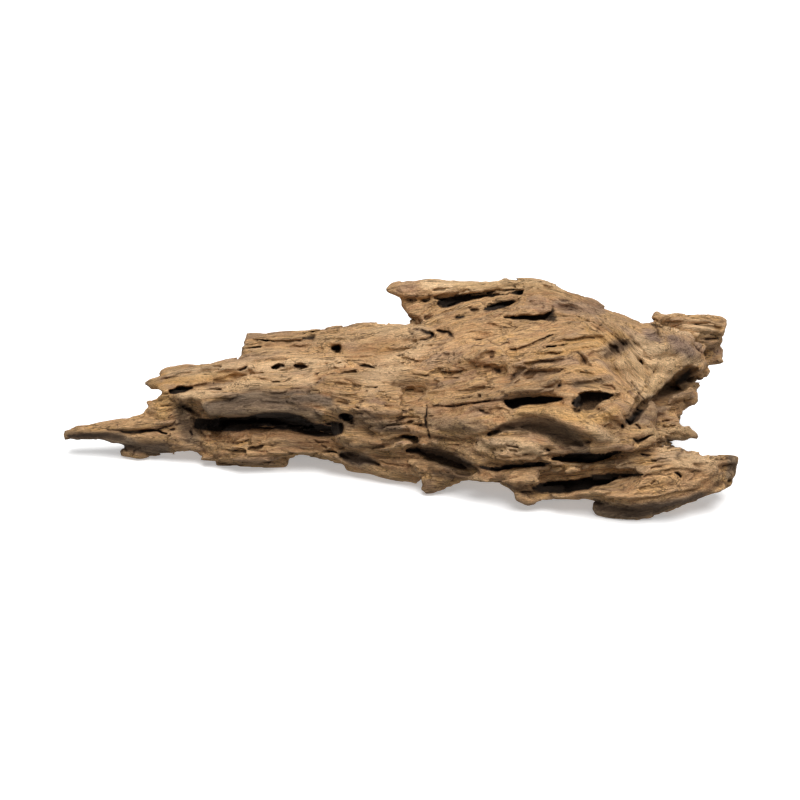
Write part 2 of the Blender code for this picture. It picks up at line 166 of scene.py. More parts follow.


# In the tables below each row starts with a name and ends with its stations.
# Grey rows paint shade on undersides, hollows and faces turned from the light, with some grey bloom; pale
# rows paint light on faces that catch it.
TINT_ROWS = (
    ("shelf_front", GREY, 1, (206, 407, 5), (225, 405, 8), (250, 399, 11), (272, 398, 10), (292, 398, 9),
     (312, 397, 8), (328, 402, 6)),
    ("shelf_front_low", GREY, 0.9, (212, 412, 5), (240, 411, 7), (270, 410, 7), (300, 411, 7),
     (320, 416, 5)),
    ("web", GREY, 0.8, (180, 410, 7), (186, 424, 12), (192, 437, 9)),
    ("spike_low", GREY, 1, (70, 437, 3), (95, 437, 5), (120, 438, 6)),
    ("patch_by_hole", GREY, 0.6, (322, 402, 3), (330, 406, 6), (340, 411, 4)),
    ("middle_front", GREY, 0.6, (345, 424, 5), (362, 420, 9), (382, 424, 8), (400, 430, 4)),
    ("middle_lobe", GREY, 0.55, (432, 424, 6), (450, 424, 10), (470, 426, 8), (485, 428, 3)),
    ("scoop", GREY, 0.75, (495, 430, 3), (520, 425, 7), (545, 428, 10), (566, 438, 12), (584, 448, 6)),
    ("under_lens", GREY, 0.5, (612, 466, 4), (628, 468, 6), (642, 468, 4)),
    ("scoop_under_seam", GREY, 1, (342, 455, 4), (352, 458, 7), (362, 460, 8), (372, 462, 4)),
    ("trough", GREY, 0.7, (425, 453, 4), (440, 458, 8), (455, 462, 8), (470, 466, 5)),
    ("foot_heel", GREY, 1, (595, 502, 4), (600, 509, 7), (612, 514, 7)),
    ("spike_under", GREY, 1, (90, 439, 4), (120, 440, 6), (140, 448, 7), (165, 449, 6)),
    ("foot_face", GREY, 0.9, (731, 458, 5), (733, 467, 6), (729, 476, 4)),
    ("foot_under", GREY, 1, (598, 508, 8), (630, 512, 9), (665, 506, 7), (700, 496, 5)),
    ("knot_hole", GREY, 0.7, (606, 352, 7), (618, 347, 9), (630, 344, 5)),
    ("valley", GREY, 0.6, (575, 384, 4), (592, 382, 6), (610, 378, 4)),
    ("pit_cluster", GREY, 0.5, (508, 384, 4), (522, 374, 7), (540, 376, 7)),
    ("cleft_wall", GREY, 0.5, (690, 372, 6), (672, 392, 10), (655, 408, 9), (642, 420, 5)),
    ("brow", GREY, 0.5, (515, 394, 2), (535, 392, 4), (558, 386, 4)),
    ("fan_stain_one", PURPLE, 0.9, (646, 331, 4), (653, 336, 6), (659, 341, 3)),
    ("fan_stain_two", PURPLE, 1, (671, 339, 5), (680, 346, 9), (690, 353, 7)),
    ("block_side", PURPLE, 0.5, (700, 344, 6), (712, 350, 7), (712, 358, 5)),
    ("crest_top", PURPLE, 0.7, (556, 304, 5), (570, 306, 7), (586, 308, 7), (602, 311, 4)),
    ("comb", GOLD, 1, (154, 384, 6), (163, 394, 8), (162, 406, 10), (160, 414, 5)),
    ("yellow_strand", GOLD, 1, (166, 382, 4), (190, 380, 5), (215, 377, 5), (236, 374, 3)),
    ("right_strands", GOLD, 0.9, (528, 362, 3), (560, 350, 7), (590, 342, 8), (620, 336, 5)),
    ("low_strands", GOLD, 0.7, (540, 366, 3), (560, 368, 4), (585, 370, 4), (604, 371, 3)),
    ("gold_flank", GOLD, 1, (520, 410, 4), (550, 408, 7), (575, 416, 9), (600, 418, 6), (616, 410, 5)),
    ("rim_top", GOLD, 0.6, (455, 287, 4), (490, 286, 5), (530, 284, 5), (560, 291, 4)),
    ("fan_face", GOLD, 0.4, (625, 365, 9), (650, 372, 13), (675, 366, 9)),
    ("fan_foot", GOLD, 0.7, (642, 388, 4), (652, 388, 6), (663, 380, 4)),
    ("foot_brown", RED, 0.35, (635, 487, 8), (668, 481, 9), (700, 473, 9), (722, 466, 7)),
    ("foot_gold", GOLD, 0.6, (640, 490, 4), (662, 482, 6), (680, 476, 5)),
    ("butt_gold", GOLD, 0.5, (640, 431, 4), (665, 433, 6), (690, 435, 4)),
    ("lower_shelf_top", RED, 0.8, (208, 437, 4), (240, 434, 5), (275, 433, 5), (310, 440, 6),
     (336, 444, 5)),
    ("web_root", RED, 0.7, (170, 410, 4), (173, 418, 4)),
    ("shelf_middle", RED, 0.5, (300, 402, 6), (315, 404, 8), (325, 396, 6)),
    ("red_crack", RED, 0.8, (430, 407, 3), (450, 408, 4), (470, 405, 3), (494, 402, 3)),
    ("bump_spot", RED, 0.8, (491, 350, 4), (491, 356, 4)),
    ("pit_spot", RED, 0.7, (487, 368, 4), (497, 371, 5)),
    ("orange_lobe", RED, 0.6, (372, 458, 4), (390, 464, 6), (410, 468, 5)),
    ("block_corner", RED, 0.6, (703, 354, 3), (705, 362, 4)),
    ("fan_pale", PALE, 1, (640, 342, 7), (652, 352, 11), (664, 360, 15), (664, 372, 13), (655, 384, 10),
     (647, 394, 6)),
    ("fan_pale_low", PALE, 0.8, (636, 356, 8), (650, 362, 12), (668, 364, 12)),
    ("fan_pale_right", PALE, 0.8, (676, 360, 8), (690, 361, 6), (702, 362, 3)),
    ("rim_pale", PALE, 1, (425, 284, 5), (460, 287, 7), (500, 285, 7), (540, 284, 6), (560, 290, 5)),
    ("back_pale", PALE, 0.25, (255, 350, 8), (290, 350, 14), (330, 344, 14), (365, 336, 10)),
    ("strand_pale", PALE, 0.7, (170, 374, 4), (200, 372, 6), (240, 368, 8), (300, 366, 8), (340, 362, 6)),
    ("shelf_pale", PALE, 0.6, (182, 396, 4), (205, 393, 6), (232, 387, 5), (270, 382, 5), (310, 380, 6)),
    ("middle_pale", PALE, 0.5, (380, 330, 10), (420, 335, 14), (400, 360, 14), (370, 385, 12)),
    ("crest_pale", PALE, 0.2, (560, 305, 6), (600, 318, 7), (630, 330, 7)),
    ("block_end_pale", PALE, 0.7, (668, 326, 6), (688, 328, 9), (708, 330, 8)),
    ("block_pale", PALE, 0.9, (660, 308, 6), (690, 306, 8), (715, 308, 8)),
    ("butt_pale", PALE, 0.6, (650, 432, 7), (690, 434, 7), (664, 448, 9), (690, 460, 10), (712, 464, 8)),
    ("lobe_pale", PALE, 0.7, (480, 445, 6), (510, 446, 9), (540, 452, 6)),
    ("lens_pale", PALE, 0.4, (590, 425, 5), (605, 436, 7), (615, 440, 5)),
    ("spike_worn", WORN, 1, (62, 436, 8), (85, 432, 14), (120, 431, 18), (150, 432, 22), (165, 432, 16)),
    ("comb_worn", WORN, 0.9, (150, 384, 10), (160, 395, 16), (158, 408, 16)),
    ("head_tip_worn", WORN, 0.9, (390, 289, 10), (402, 296, 14), (410, 308, 12)),
    ("prong_worn", WORN, 0.8, (680, 434, 10), (696, 437, 9)),
    ("fan_root_worn", WORN, 1, (620, 362, 8), (630, 372, 12), (638, 382, 10)),
    ("rim_head_worn", WORN, 0.8, (415, 289, 7), (430, 289, 7), (446, 290, 6)),
    ("lip_worn", WORN, 0.7, (212, 410, 6), (240, 408, 7), (270, 407, 7), (300, 410, 7), (320, 415, 5)),
    ("strand_worn", WORN, 0.6, (170, 374, 6), (200, 372, 8), (235, 368, 8), (262, 364, 6)),
    ("shelf_worn", WORN, 0.5, (200, 394, 6), (232, 388, 7), (270, 383, 8), (310, 382, 8)),
    ("root_pale", PALE, 0.8, (624, 364, 7), (632, 374, 10), (639, 384, 8)),
    ("fan_worn", WORN, 1, (632, 352, 8), (645, 350, 12), (660, 360, 17), (665, 372, 16), (655, 385, 12),
     (648, 397, 7)),
    ("fan_worn_right", WORN, 1, (664, 340, 8), (680, 350, 12), (692, 358, 10), (702, 363, 5)),
    ("crest_worn", WORN, 0.7, (585, 312, 6), (610, 322, 8), (632, 334, 8)),
    ("gold_worn", WORN, 0.8, (515, 410, 4), (545, 410, 8), (575, 417, 8), (605, 418, 6)),
    ("ribbons_worn", WORN, 0.65, (500, 382, 9), (528, 368, 15), (560, 356, 18), (592, 350, 16),
     (600, 372, 14), (560, 384, 13), (528, 390, 8)),
    ("knob_worn", WORN, 0.6, (478, 354, 8), (492, 353, 10), (504, 354, 8)),
    ("crest_edge_worn", WORN, 1, (556, 294, 9), (578, 300, 10), (600, 309, 10), (622, 319, 9),
     (640, 326, 7)),
    ("scoop_worn", WORN, 0.5, (500, 428, 5), (525, 424, 8), (550, 428, 10), (575, 442, 10)),
    ("lens_worn", WORN, 0.7, (582, 432, 5), (600, 436, 8), (612, 440, 6)),
    ("back_worn", WORN, 0.6, (250, 358, 9), (300, 352, 12), (345, 340, 10), (370, 336, 8)),
    ("rim_worn", WORN, 0.6, (440, 286, 5), (500, 284, 6), (560, 292, 6)),
    ("head_worn", WORN, 0.6, (355, 300, 8), (385, 305, 12), (415, 312, 9)),
    ("foot_front_worn", WORN, 0.4, (610, 505, 8), (650, 498, 10), (700, 485, 8)),
    ("under_gold", RED, 0.5, (548, 404, 3), (570, 408, 4)),
)


# Each row of strokes has a name, a profile, a depth, a darkening (painted shade, in places real stain) and
# the stations.
RIM_ROWS = (
    ("slot_under_rim", TRENCH, 8, 1, (438, 300, 1.2), (442, 303, 4.2), (452, 301.5, 4.4), (462, 299, 3.4),
     (472, 297.5, 2), (490, 295, 1.2), (505, 294, 1), (515, 293, 1.4), (520, 293, 2.4), (523, 291, 1)),
    ("second_slot", TRENCH, 8, 1, (485, 309.5, 1), (492, 307.5, 2.8), (500, 305.5, 3.5), (508, 303.5, 2.8),
     (515, 301.5, 1)),
    ("third_slot", TRENCH, 9, 0.85, (505, 317.5, 0.8), (512, 318, 1.2), (522, 317.5, 1.6), (532, 318, 2),
     (542, 318.5, 2.6), (549, 318, 4.2), (553, 317, 4.4)),
    ("break_across_rim", GOUGE, 4, 0.8, (553, 307, 1.4), (553.5, 314, 2), (553, 323, 1.4)),
    ("rim_hole", GOUGE, 7, 1, (458, 317.5, 2.4), (463, 316, 2.8)),
    ("pit_before_second_slot", GOUGE, 4, 0.7, (469, 308.5, 1.5), (474, 311, 3), (478, 310, 1.5)),
    ("small_pit_there", GOUGE, 2.5, 0.6, (482, 309, 1), (487, 311, 2), (491, 310, 1)),
    ("rim_crack", GOUGE, 1.8, 0.6, (433, 289, 0.9), (440, 289.5, 1.6), (448, 289, 0.8)),
    ("rim_spot_high", GOUGE, 1.6, 0.6, (403, 285.5, 1), (409, 286.5, 1.3), (414, 287, 0.8)),
    ("rim_spot_low", GOUGE, 2.4, 0.6, (404, 299.5, 1.2), (409, 298.5, 2.5), (415, 299.5, 1)),
    ("rim_spot_left", GOUGE, 1.6, 0.5, (394, 289, 1), (398, 291, 2.2), (402, 293, 1)),
    ("rim_edge_crack", GOUGE, 1.6, 0.6, (529, 302, 0.8), (535, 304, 1.3), (543, 303, 0.8)),
    ("rim_edge_hook", GOUGE, 1.6, 0.6, (541, 303, 0.8), (544, 306, 1.3), (543, 309, 0.8)),
    ("strand_between_slots", RIDGE, 1.5, 0, (452, 308, 2), (470, 304, 3), (488, 300, 3.2), (510, 298, 3),
     (545, 299, 2)),
    ("strand_over_third_slot", RIDGE, 1.4, 0, (484, 315, 1.2), (500, 313, 2), (520, 312.5, 2.2),
     (550, 310, 1.6)),
    ("notch_on_crest", GOUGE, 2.5, 0.8, (560, 300, 1), (564, 300.5, 1.8), (569, 299.5, 0.8)),
    ("edge_under_crest", LEDGE, 2.2, 0, (640, 328, 3), (630, 322, 4), (615, 316, 5), (600, 318, 6),
     (580, 321, 6), (560, 323, 5), (548, 325, 2)),
    ("flank_under_crest", GOUGE, 1.6, 0.15, (556, 309, 4), (575, 309, 6), (595, 311, 5), (606, 313, 2)),
)

KNOT_ROWS = (
    ("knot_cluster_left", GOUGE, 5, 0.8, (409, 328, 1.5), (411, 332, 3), (412, 335.5, 1.2)),
    ("knot_cluster_middle", GOUGE, 6, 1, (414, 329, 1.5), (421, 330, 2.2), (428, 333, 3.4), (432, 336, 2.6),
     (427, 338.5, 1.6), (420, 340.5, 0.8)),
    ("knot_cluster_top", GOUGE, 2, 0.5, (405, 323, 1), (411, 322, 1.6), (416, 323, 0.8)),
    ("knot_cluster_right", GOUGE, 5, 0.9, (438, 331.5, 1.4), (443, 332, 2.4), (449, 331.5, 1.4)),
    ("knot_cluster_tail", GOUGE, 4, 0.9, (449, 332, 1.5), (452, 335, 2.6), (455, 338, 0.8)),
    ("spot_by_cluster", GOUGE, 1.4, 0.4, (432, 323.5, 0.8), (437, 323, 1.4), (442, 322, 0.7)),
    ("lip_crack", GOUGE, 1.8, 0.8, (487, 339, 0.8), (493, 343.5, 1.5), (500, 345.5, 1.6), (506, 342.5, 1.3),
     (510, 344, 0.8)),
    ("lip_crack_high", GOUGE, 1.2, 0.6, (490, 335, 0.8), (496, 337, 1.3), (501, 338, 0.8)),
    ("lip_strand", LEDGE, 1.6, 0, (455, 330, 3), (475, 331, 4), (495, 334, 4), (512, 341, 2)),
    ("bump_ring", RIDGE, 3, 0, (476, 360, 1.5), (480, 352.5, 3), (487, 348, 3.4), (496, 347.5, 3.4),
     (502, 352, 3), (505, 360, 1.4)),
    ("bump_spot", GOUGE, 2.6, 0.5, (492, 350, 2), (492, 353.5, 3.6), (491, 357.5, 2)),
    ("ribbon_one", LEDGE, 3.8, 0.3, (534, 352, 2), (546, 346.5, 3.4), (560, 344, 4), (575, 344, 4),
     (592, 342.5, 4), (606, 338, 2)),
    ("ribbon_two", LEDGE, 3.4, 0.3, (520, 363, 2), (536, 360.5, 3), (554, 359, 3.6), (570, 356, 3),
     (579, 353, 1.6)),
    ("ribbon_three", LEDGE, 3, 0.25, (528, 371, 2), (545, 370, 3), (560, 372, 3.4), (578, 371.5, 3),
     (600, 372.5, 2)),
    ("ribbon_four", LEDGE, 3, 0.25, (482, 402, 2), (496, 399, 3), (509, 396.5, 4), (524, 395.5, 4.4),
     (540, 393.5, 4.4), (553, 390, 4), (561, 383, 3.4), (564, 375, 2)),
    ("ribbon_five", LEDGE, 1.8, 0.15, (430, 396, 2), (450, 392, 3), (470, 389, 3.4), (490, 388, 3),
     (504, 386, 2)),
    ("ribbon_six", LEDGE, 2.8, 0.2, (505, 351, 2), (518, 347, 3), (530, 343, 3.4), (545, 337, 3),
     (560, 333, 2)),
    ("ribbon_seven", LEDGE, 1.6, 0.15, (440, 372, 2), (458, 370, 3), (474, 366, 3), (484, 362, 2)),
    ("pit_below_bump", GOUGE, 2.8, 0.45, (485, 367.5, 2), (492, 368.5, 4.4), (500, 371.5, 3)),
    ("pit_below_bump_edge", GOUGE, 2, 0.9, (492, 373, 1), (497, 373.5, 1.6), (501, 371, 0.8)),
    ("slanted_pit", GOUGE, 3.4, 0.5, (510, 384, 1.6), (514.5, 377, 3.6), (519.5, 371.5, 4.8),
     (526, 368.5, 2)),
    ("pit_above_slant", GOUGE, 2.4, 0.6, (510, 362.5, 0.9), (515, 361.5, 1.8), (522, 361, 1)),
    ("grey_dish", GOUGE, 1.6, 0.3, (527, 379.5, 2), (536, 377, 4.4), (544, 376, 2)),
    ("dish_rim", LEDGE, 1.8, 0, (503, 389, 2), (514, 383, 3), (525, 373, 3.5), (531, 367, 2)),
    ("slanted_crack", GOUGE, 1.4, 0.6, (417, 378, 0.8), (430, 374.5, 1.2), (438, 371, 1.1),
     (447, 368.5, 0.7)),
    ("lone_pit", GOUGE, 3, 0.6, (458, 384, 0.9), (463, 381.5, 2), (467, 380, 1)),
    ("lone_slit", GOUGE, 2.4, 0.7, (396, 354.5, 1), (400, 354.5, 1.5), (404, 354, 0.8)),
    ("tiny_pit", GOUGE, 2, 0.6, (400, 373, 1.1), (403, 373, 1.1)),
    ("long_shadow", LEDGE, 1.2, 0, (405, 350, 3), (430, 352, 4), (460, 352, 4), (480, 350, 2)),
)

FAN_ROWS = (
    ("knot_hole", GOUGE, 2.6, 0.62, (607, 358, 3), (611, 353, 6.5), (616, 348, 7.5), (621, 345, 6),
     (626, 343, 3)),
    ("knot_ray_one", GOUGE, 0.9, 0.3, (622, 350, 1), (628, 355, 1.2), (634, 361, 0.8)),
    ("knot_ray_three", GOUGE, 1, 0.4, (625, 341, 1), (633, 339, 1.2), (640, 340, 0.7)),
    ("facet_edge", LEDGE, 1.4, 0, (628, 333, 2), (637, 342, 3.5), (643, 349, 3.5), (649, 358, 2)),
    ("triangle_notch", GOUGE, 2.6, 0.2, (561, 361, 2), (570, 359.5, 3.6), (578, 358.5, 5), (583, 361, 3.6),
     (588, 364.5, 1)),
    ("triangle_wall", GOUGE, 2.2, 0.85, (578, 353, 1), (582.5, 357, 1.6), (587, 364, 1.3)),
    ("triangle_strand", RIDGE, 1.8, 0, (580, 351, 1.2), (586, 355, 1.8), (591, 362, 1.6), (595, 368, 1)),
    ("triangle_crack", GOUGE, 2, 0.8, (540, 361, 0.8), (551, 358.5, 1.1), (562, 356.5, 1.2),
     (572, 353.5, 1.2), (580, 352, 0.9)),
    ("crack_past_triangle", GOUGE, 1.6, 0.6, (587, 355, 0.8), (595, 352.5, 1.2), (605, 349, 0.8)),
    ("brown_pit", GOUGE, 1.8, 0.5, (593, 335.5, 1), (597, 332, 2.2), (601, 325, 1)),
    ("gold_strand_high", RIDGE, 2.6, 0, (545, 341, 2), (565, 337, 3), (585, 335, 3), (608, 334, 1.5)),
    ("gold_strand_middle", RIDGE, 3, 0, (536, 352, 1.5), (560, 349, 3), (580, 346, 3), (603, 341, 2)),
    ("gold_strand_low", RIDGE, 2.6, 0, (527, 368, 1.5), (545, 366, 3), (565, 368, 3), (600, 369, 2)),
    ("valley_high", GOUGE, 1.5, 0.25, (540, 347, 1.5), (560, 344, 2), (580, 341.5, 1.6), (603, 337, 1)),
    ("valley_low", GOUGE, 1.8, 0.3, (548, 373, 1.5), (562, 377, 3.5), (575, 374, 2.5), (590, 376, 1.5)),
    ("grey_valley", GOUGE, 1.3, 0.25, (574, 384, 2), (588, 383, 3.6), (600, 381, 3.6), (610, 378, 1.5)),
    ("crack_under_valley", GOUGE, 1, 0.5, (564, 386, 0.8), (573, 383, 1.1), (583, 381.5, 0.8)),
    ("fan_root_crack", GOUGE, 3.5, 0.8, (631, 383, 1), (636, 388, 2), (639, 393, 2), (643, 399, 1.4)),
    ("ledge_right_of_pocket", LEDGE, 3, 0.3, (600, 393, 3), (612, 394, 3.5), (625, 391, 3.5),
     (635, 388, 2)),
    ("cleft_high", TRENCH, 13, 0.5, (701, 369, 1.4), (693, 372, 4.4), (686, 378, 7), (677, 385, 7),
     (667, 390, 5.5), (659, 395, 3.5)),
    ("cleft_cave", GOUGE, 2, 1, (691, 371, 3.5), (685, 377, 6.5), (677, 382, 4.5)),
    ("cleft_hole", GOUGE, 3, 1, (642, 411, 3), (635, 416, 5.5), (627, 422, 3.5)),
    ("cleft_low", TRENCH, 13, 0.5, (662, 394, 3), (652, 399, 3.6), (645, 404, 3.8), (640, 410, 4.6),
     (634, 416, 5.6), (628, 421, 4), (622, 426, 1.4)),
    ("cleft_shade", GOUGE, 3, 0.35, (670, 396, 4), (660, 404, 7), (650, 412, 7), (642, 420, 4)),
    ("lobe_by_cleft", RIDGE, 2, 0, (694, 381, 1.5), (696, 373, 2.5), (702, 369.5, 2.5), (705, 377, 2)),
    ("lobe_hollow", GOUGE, 3, 0.7, (697, 376, 1.5), (700, 379, 2), (703, 381, 1)),
)

BLOCK_ROWS = (
    ("block_notch_low", GOUGE, 5, 0.9, (651, 324, 1.6), (656, 325.5, 2.6), (662, 328, 1)),
    ("block_notch_high", GOUGE, 3.5, 0.9, (651, 318.5, 1), (656, 319.5, 1.6), (661, 320, 0.8)),
    ("block_root", GOUGE, 2.6, 0.7, (653, 326, 1.2), (657, 331, 1.3), (662, 337, 0.8)),
    ("block_seam", GOUGE, 2, 0.6, (666, 322, 0.8), (682, 321.5, 1.2), (695, 318, 1), (703, 317, 1),
     (712, 320, 1.4), (724, 323, 1.6)),
    ("block_lip", LEDGE, 2.2, 0.3, (698, 320, 2), (710, 322, 4), (718, 326, 4), (725, 328, 2)),
    ("block_slit_high", GOUGE, 2.6, 0.85, (700, 338.5, 0.9), (707, 339, 1.3), (714, 339, 1.9),
     (719, 338, 1)),
    ("block_slit_low", GOUGE, 2.6, 0.85, (705, 350, 0.8), (710, 349.5, 1.3), (717, 348, 1.3)),
    ("block_crack", GOUGE, 2.2, 0.8, (693.5, 344, 0.8), (697, 349, 1.2), (702, 352.5, 0.8)),
    ("block_strand", RIDGE, 1.2, 0, (680, 332, 2), (695, 330, 3), (712, 330, 2.4)),
    ("block_foot_edge", GOUGE, 2, 0.6, (704, 352, 1), (707, 359, 1.6), (710, 366, 1)),
)

MIDDLE_ROWS = (
    ("front_slot", TRENCH, 13, 1, (505, 401.5, 1.2), (509, 403.5, 3.8), (514, 403.8, 5), (520, 402.5, 4.8),
     (528, 401, 4), (540, 400.5, 3.4), (550, 399.5, 2.4), (561, 398, 1)),
    ("front_slot_brow", RIDGE, 4, 0, (498, 394, 2), (512, 391, 3.4), (528, 388.5, 4), (542, 386, 4),
     (553, 381.5, 3.6), (561, 376, 2.4)),
    ("brow_valley", GOUGE, 1.6, 0.3, (520, 395, 0.8), (538, 394, 1.4), (556, 389, 1)),
    ("pocket", TRENCH, 13, 0.7, (577, 409, 4.2), (580, 405, 8.4), (588, 402, 9), (595, 398.5, 6.4),
     (603, 396, 3.8), (612, 394.5, 1.2)),
    ("pocket_dark", TRENCH, 6, 1, (577, 403, 5), (582, 399, 5), (590, 397.5, 4.4), (600, 396, 3.6),
     (609, 395, 1.4)),
    ("lens_slot", TRENCH, 12, 1, (553, 458.5, 1), (562, 457.8, 2.5), (575, 457, 4), (588, 457, 4.8),
     (600, 457, 4.4), (609, 454.8, 3), (620, 452.3, 0.9)),
    ("wedge_slot", TRENCH, 14, 1, (534, 488, 2.6), (545, 488, 5.4), (555, 487.5, 5.6), (570, 486.5, 5.6),
     (585, 483.5, 5.2), (597, 480, 5.4), (608, 478, 4.4), (620, 476, 2.5), (632, 475, 1.4),
     (642, 474.5, 0.9)),
    ("thin_slot", TRENCH, 8, 1, (478, 467, 1), (485, 468.5, 2), (495, 469, 2.1), (505, 468, 2.1),
     (515, 466.5, 2), (530, 465, 1.8), (540, 464.5, 1.3), (550, 464, 0.9)),
    ("scoop", GOUGE, 6.5, 0.4, (488, 434, 2), (505, 428, 4), (520, 425, 6.5), (535, 426, 8.5),
     (550, 430, 10.5), (562, 438, 12), (574, 446, 9), (588, 452, 3)),
    ("scoop_shade", GOUGE, 2, 0.35, (502, 424, 2), (520, 420, 3), (540, 420, 4), (560, 427, 4),
     (576, 440, 3)),
    ("gold_flank", RIDGE, 3, 0, (512, 412, 3), (535, 410, 6), (560, 414, 8), (580, 424, 9), (600, 434, 9),
     (618, 436, 5)),
    ("flank_swirl", GOUGE, 2, 0.35, (604, 421, 1), (614, 421, 2.4), (621, 427, 2.4), (620, 436, 1.6)),
    ("swirl_strand", RIDGE, 1.4, 0, (603, 417, 1.4), (614, 416, 2.2), (624, 422, 2.4), (628, 432, 1.8)),
    ("middle_lobe", RIDGE, 2.6, 0, (470, 446, 4), (490, 446, 9), (512, 446, 10), (532, 447, 7),
     (546, 452, 3)),
    ("lobe_spot", GOUGE, 1.8, 0.5, (538, 445, 1), (543, 448, 1.9), (549, 450, 1)),
    ("red_crack", GOUGE, 2.4, 0.65, (427, 407, 1), (437, 406, 1.4), (450, 407.5, 1.4), (460, 406.5, 1.1),
     (470, 404, 1.1), (480, 403, 1.4), (490, 401.5, 1.8), (502, 400.5, 1)),
    ("vertical_crack", GOUGE, 3.4, 0.85, (426, 405, 1.2), (427, 412, 1.3), (426, 419, 1.7), (427, 428, 1.1),
     (429, 438, 0.9)),
    ("crack_spot", GOUGE, 2.4, 0.6, (480, 410, 1), (486, 413, 2.4), (493, 414, 1)),
    ("arched_edge", LEDGE, 1.8, 0.2, (484, 413, 2), (492, 408, 3), (501, 406, 3), (508, 410, 3),
     (512, 417, 2)),
    ("left_lobe_edge", LEDGE, 1.8, 0.3, (430, 436, 2), (445, 437, 3), (460, 438, 3), (476, 434, 3),
     (492, 428, 2)),
    ("small_hole", GOUGE, 7, 1, (403, 437, 2), (408, 437.5, 3.2), (414, 437, 1.8)),
    ("bore", GOUGE, 10, 1, (408, 450, 2), (414, 449.5, 4.2), (421, 449.5, 3.8), (426, 450.5, 2)),
    ("bore_lip", RIDGE, 1.8, 0, (404, 453, 1.2), (404, 447, 1.8), (409, 443.5, 1.8), (418, 443.5, 1.6),
     (428, 445, 1)),
    ("trough", GOUGE, 9, 0.75, (422, 452, 5), (432, 455, 8), (445, 458.5, 9.5), (457, 462, 9),
     (467, 465, 6.4), (475, 469, 3.4), (480, 473, 1)),
    ("trough_shade", GOUGE, 1, 0.8, (418, 450, 6), (432, 451, 9), (446, 455, 10.5), (459, 460, 9),
     (470, 466, 6)),
    ("plate_shade", GOUGE, 0.8, 0.7, (430, 467, 5), (440, 474, 8), (455, 476, 7), (470, 475, 5)),
    ("spur_shade", GOUGE, 0.4, 0.55, (422, 485, 5), (432, 481, 8), (446, 480, 8), (464, 478, 5)),
    ("belly_top_shade", GOUGE, 0.4, 0.4, (496, 477, 4), (514, 477, 6), (532, 479, 5)),
    ("belly_shade", GOUGE, 1, 0.65, (508, 485, 4), (519, 489, 6), (530, 493, 8), (542, 491, 7)),
    ("trough_bank", GOUGE, 4, 0.45, (425, 446, 3), (440, 450, 6), (455, 455, 6), (470, 461, 3)),
    ("trough_foot", GOUGE, 1.6, 0.3, (436, 466, 6), (440, 474, 7), (440, 482, 4)),
    ("trough_foot_right", GOUGE, 3, 0.45, (444, 470, 4), (455, 474, 5), (466, 476, 3)),
    ("band_to_hole", GOUGE, 4.5, 0.6, (373, 448.5, 1.6), (385, 445, 3.6), (396, 441, 3.6), (403, 438, 2)),
)

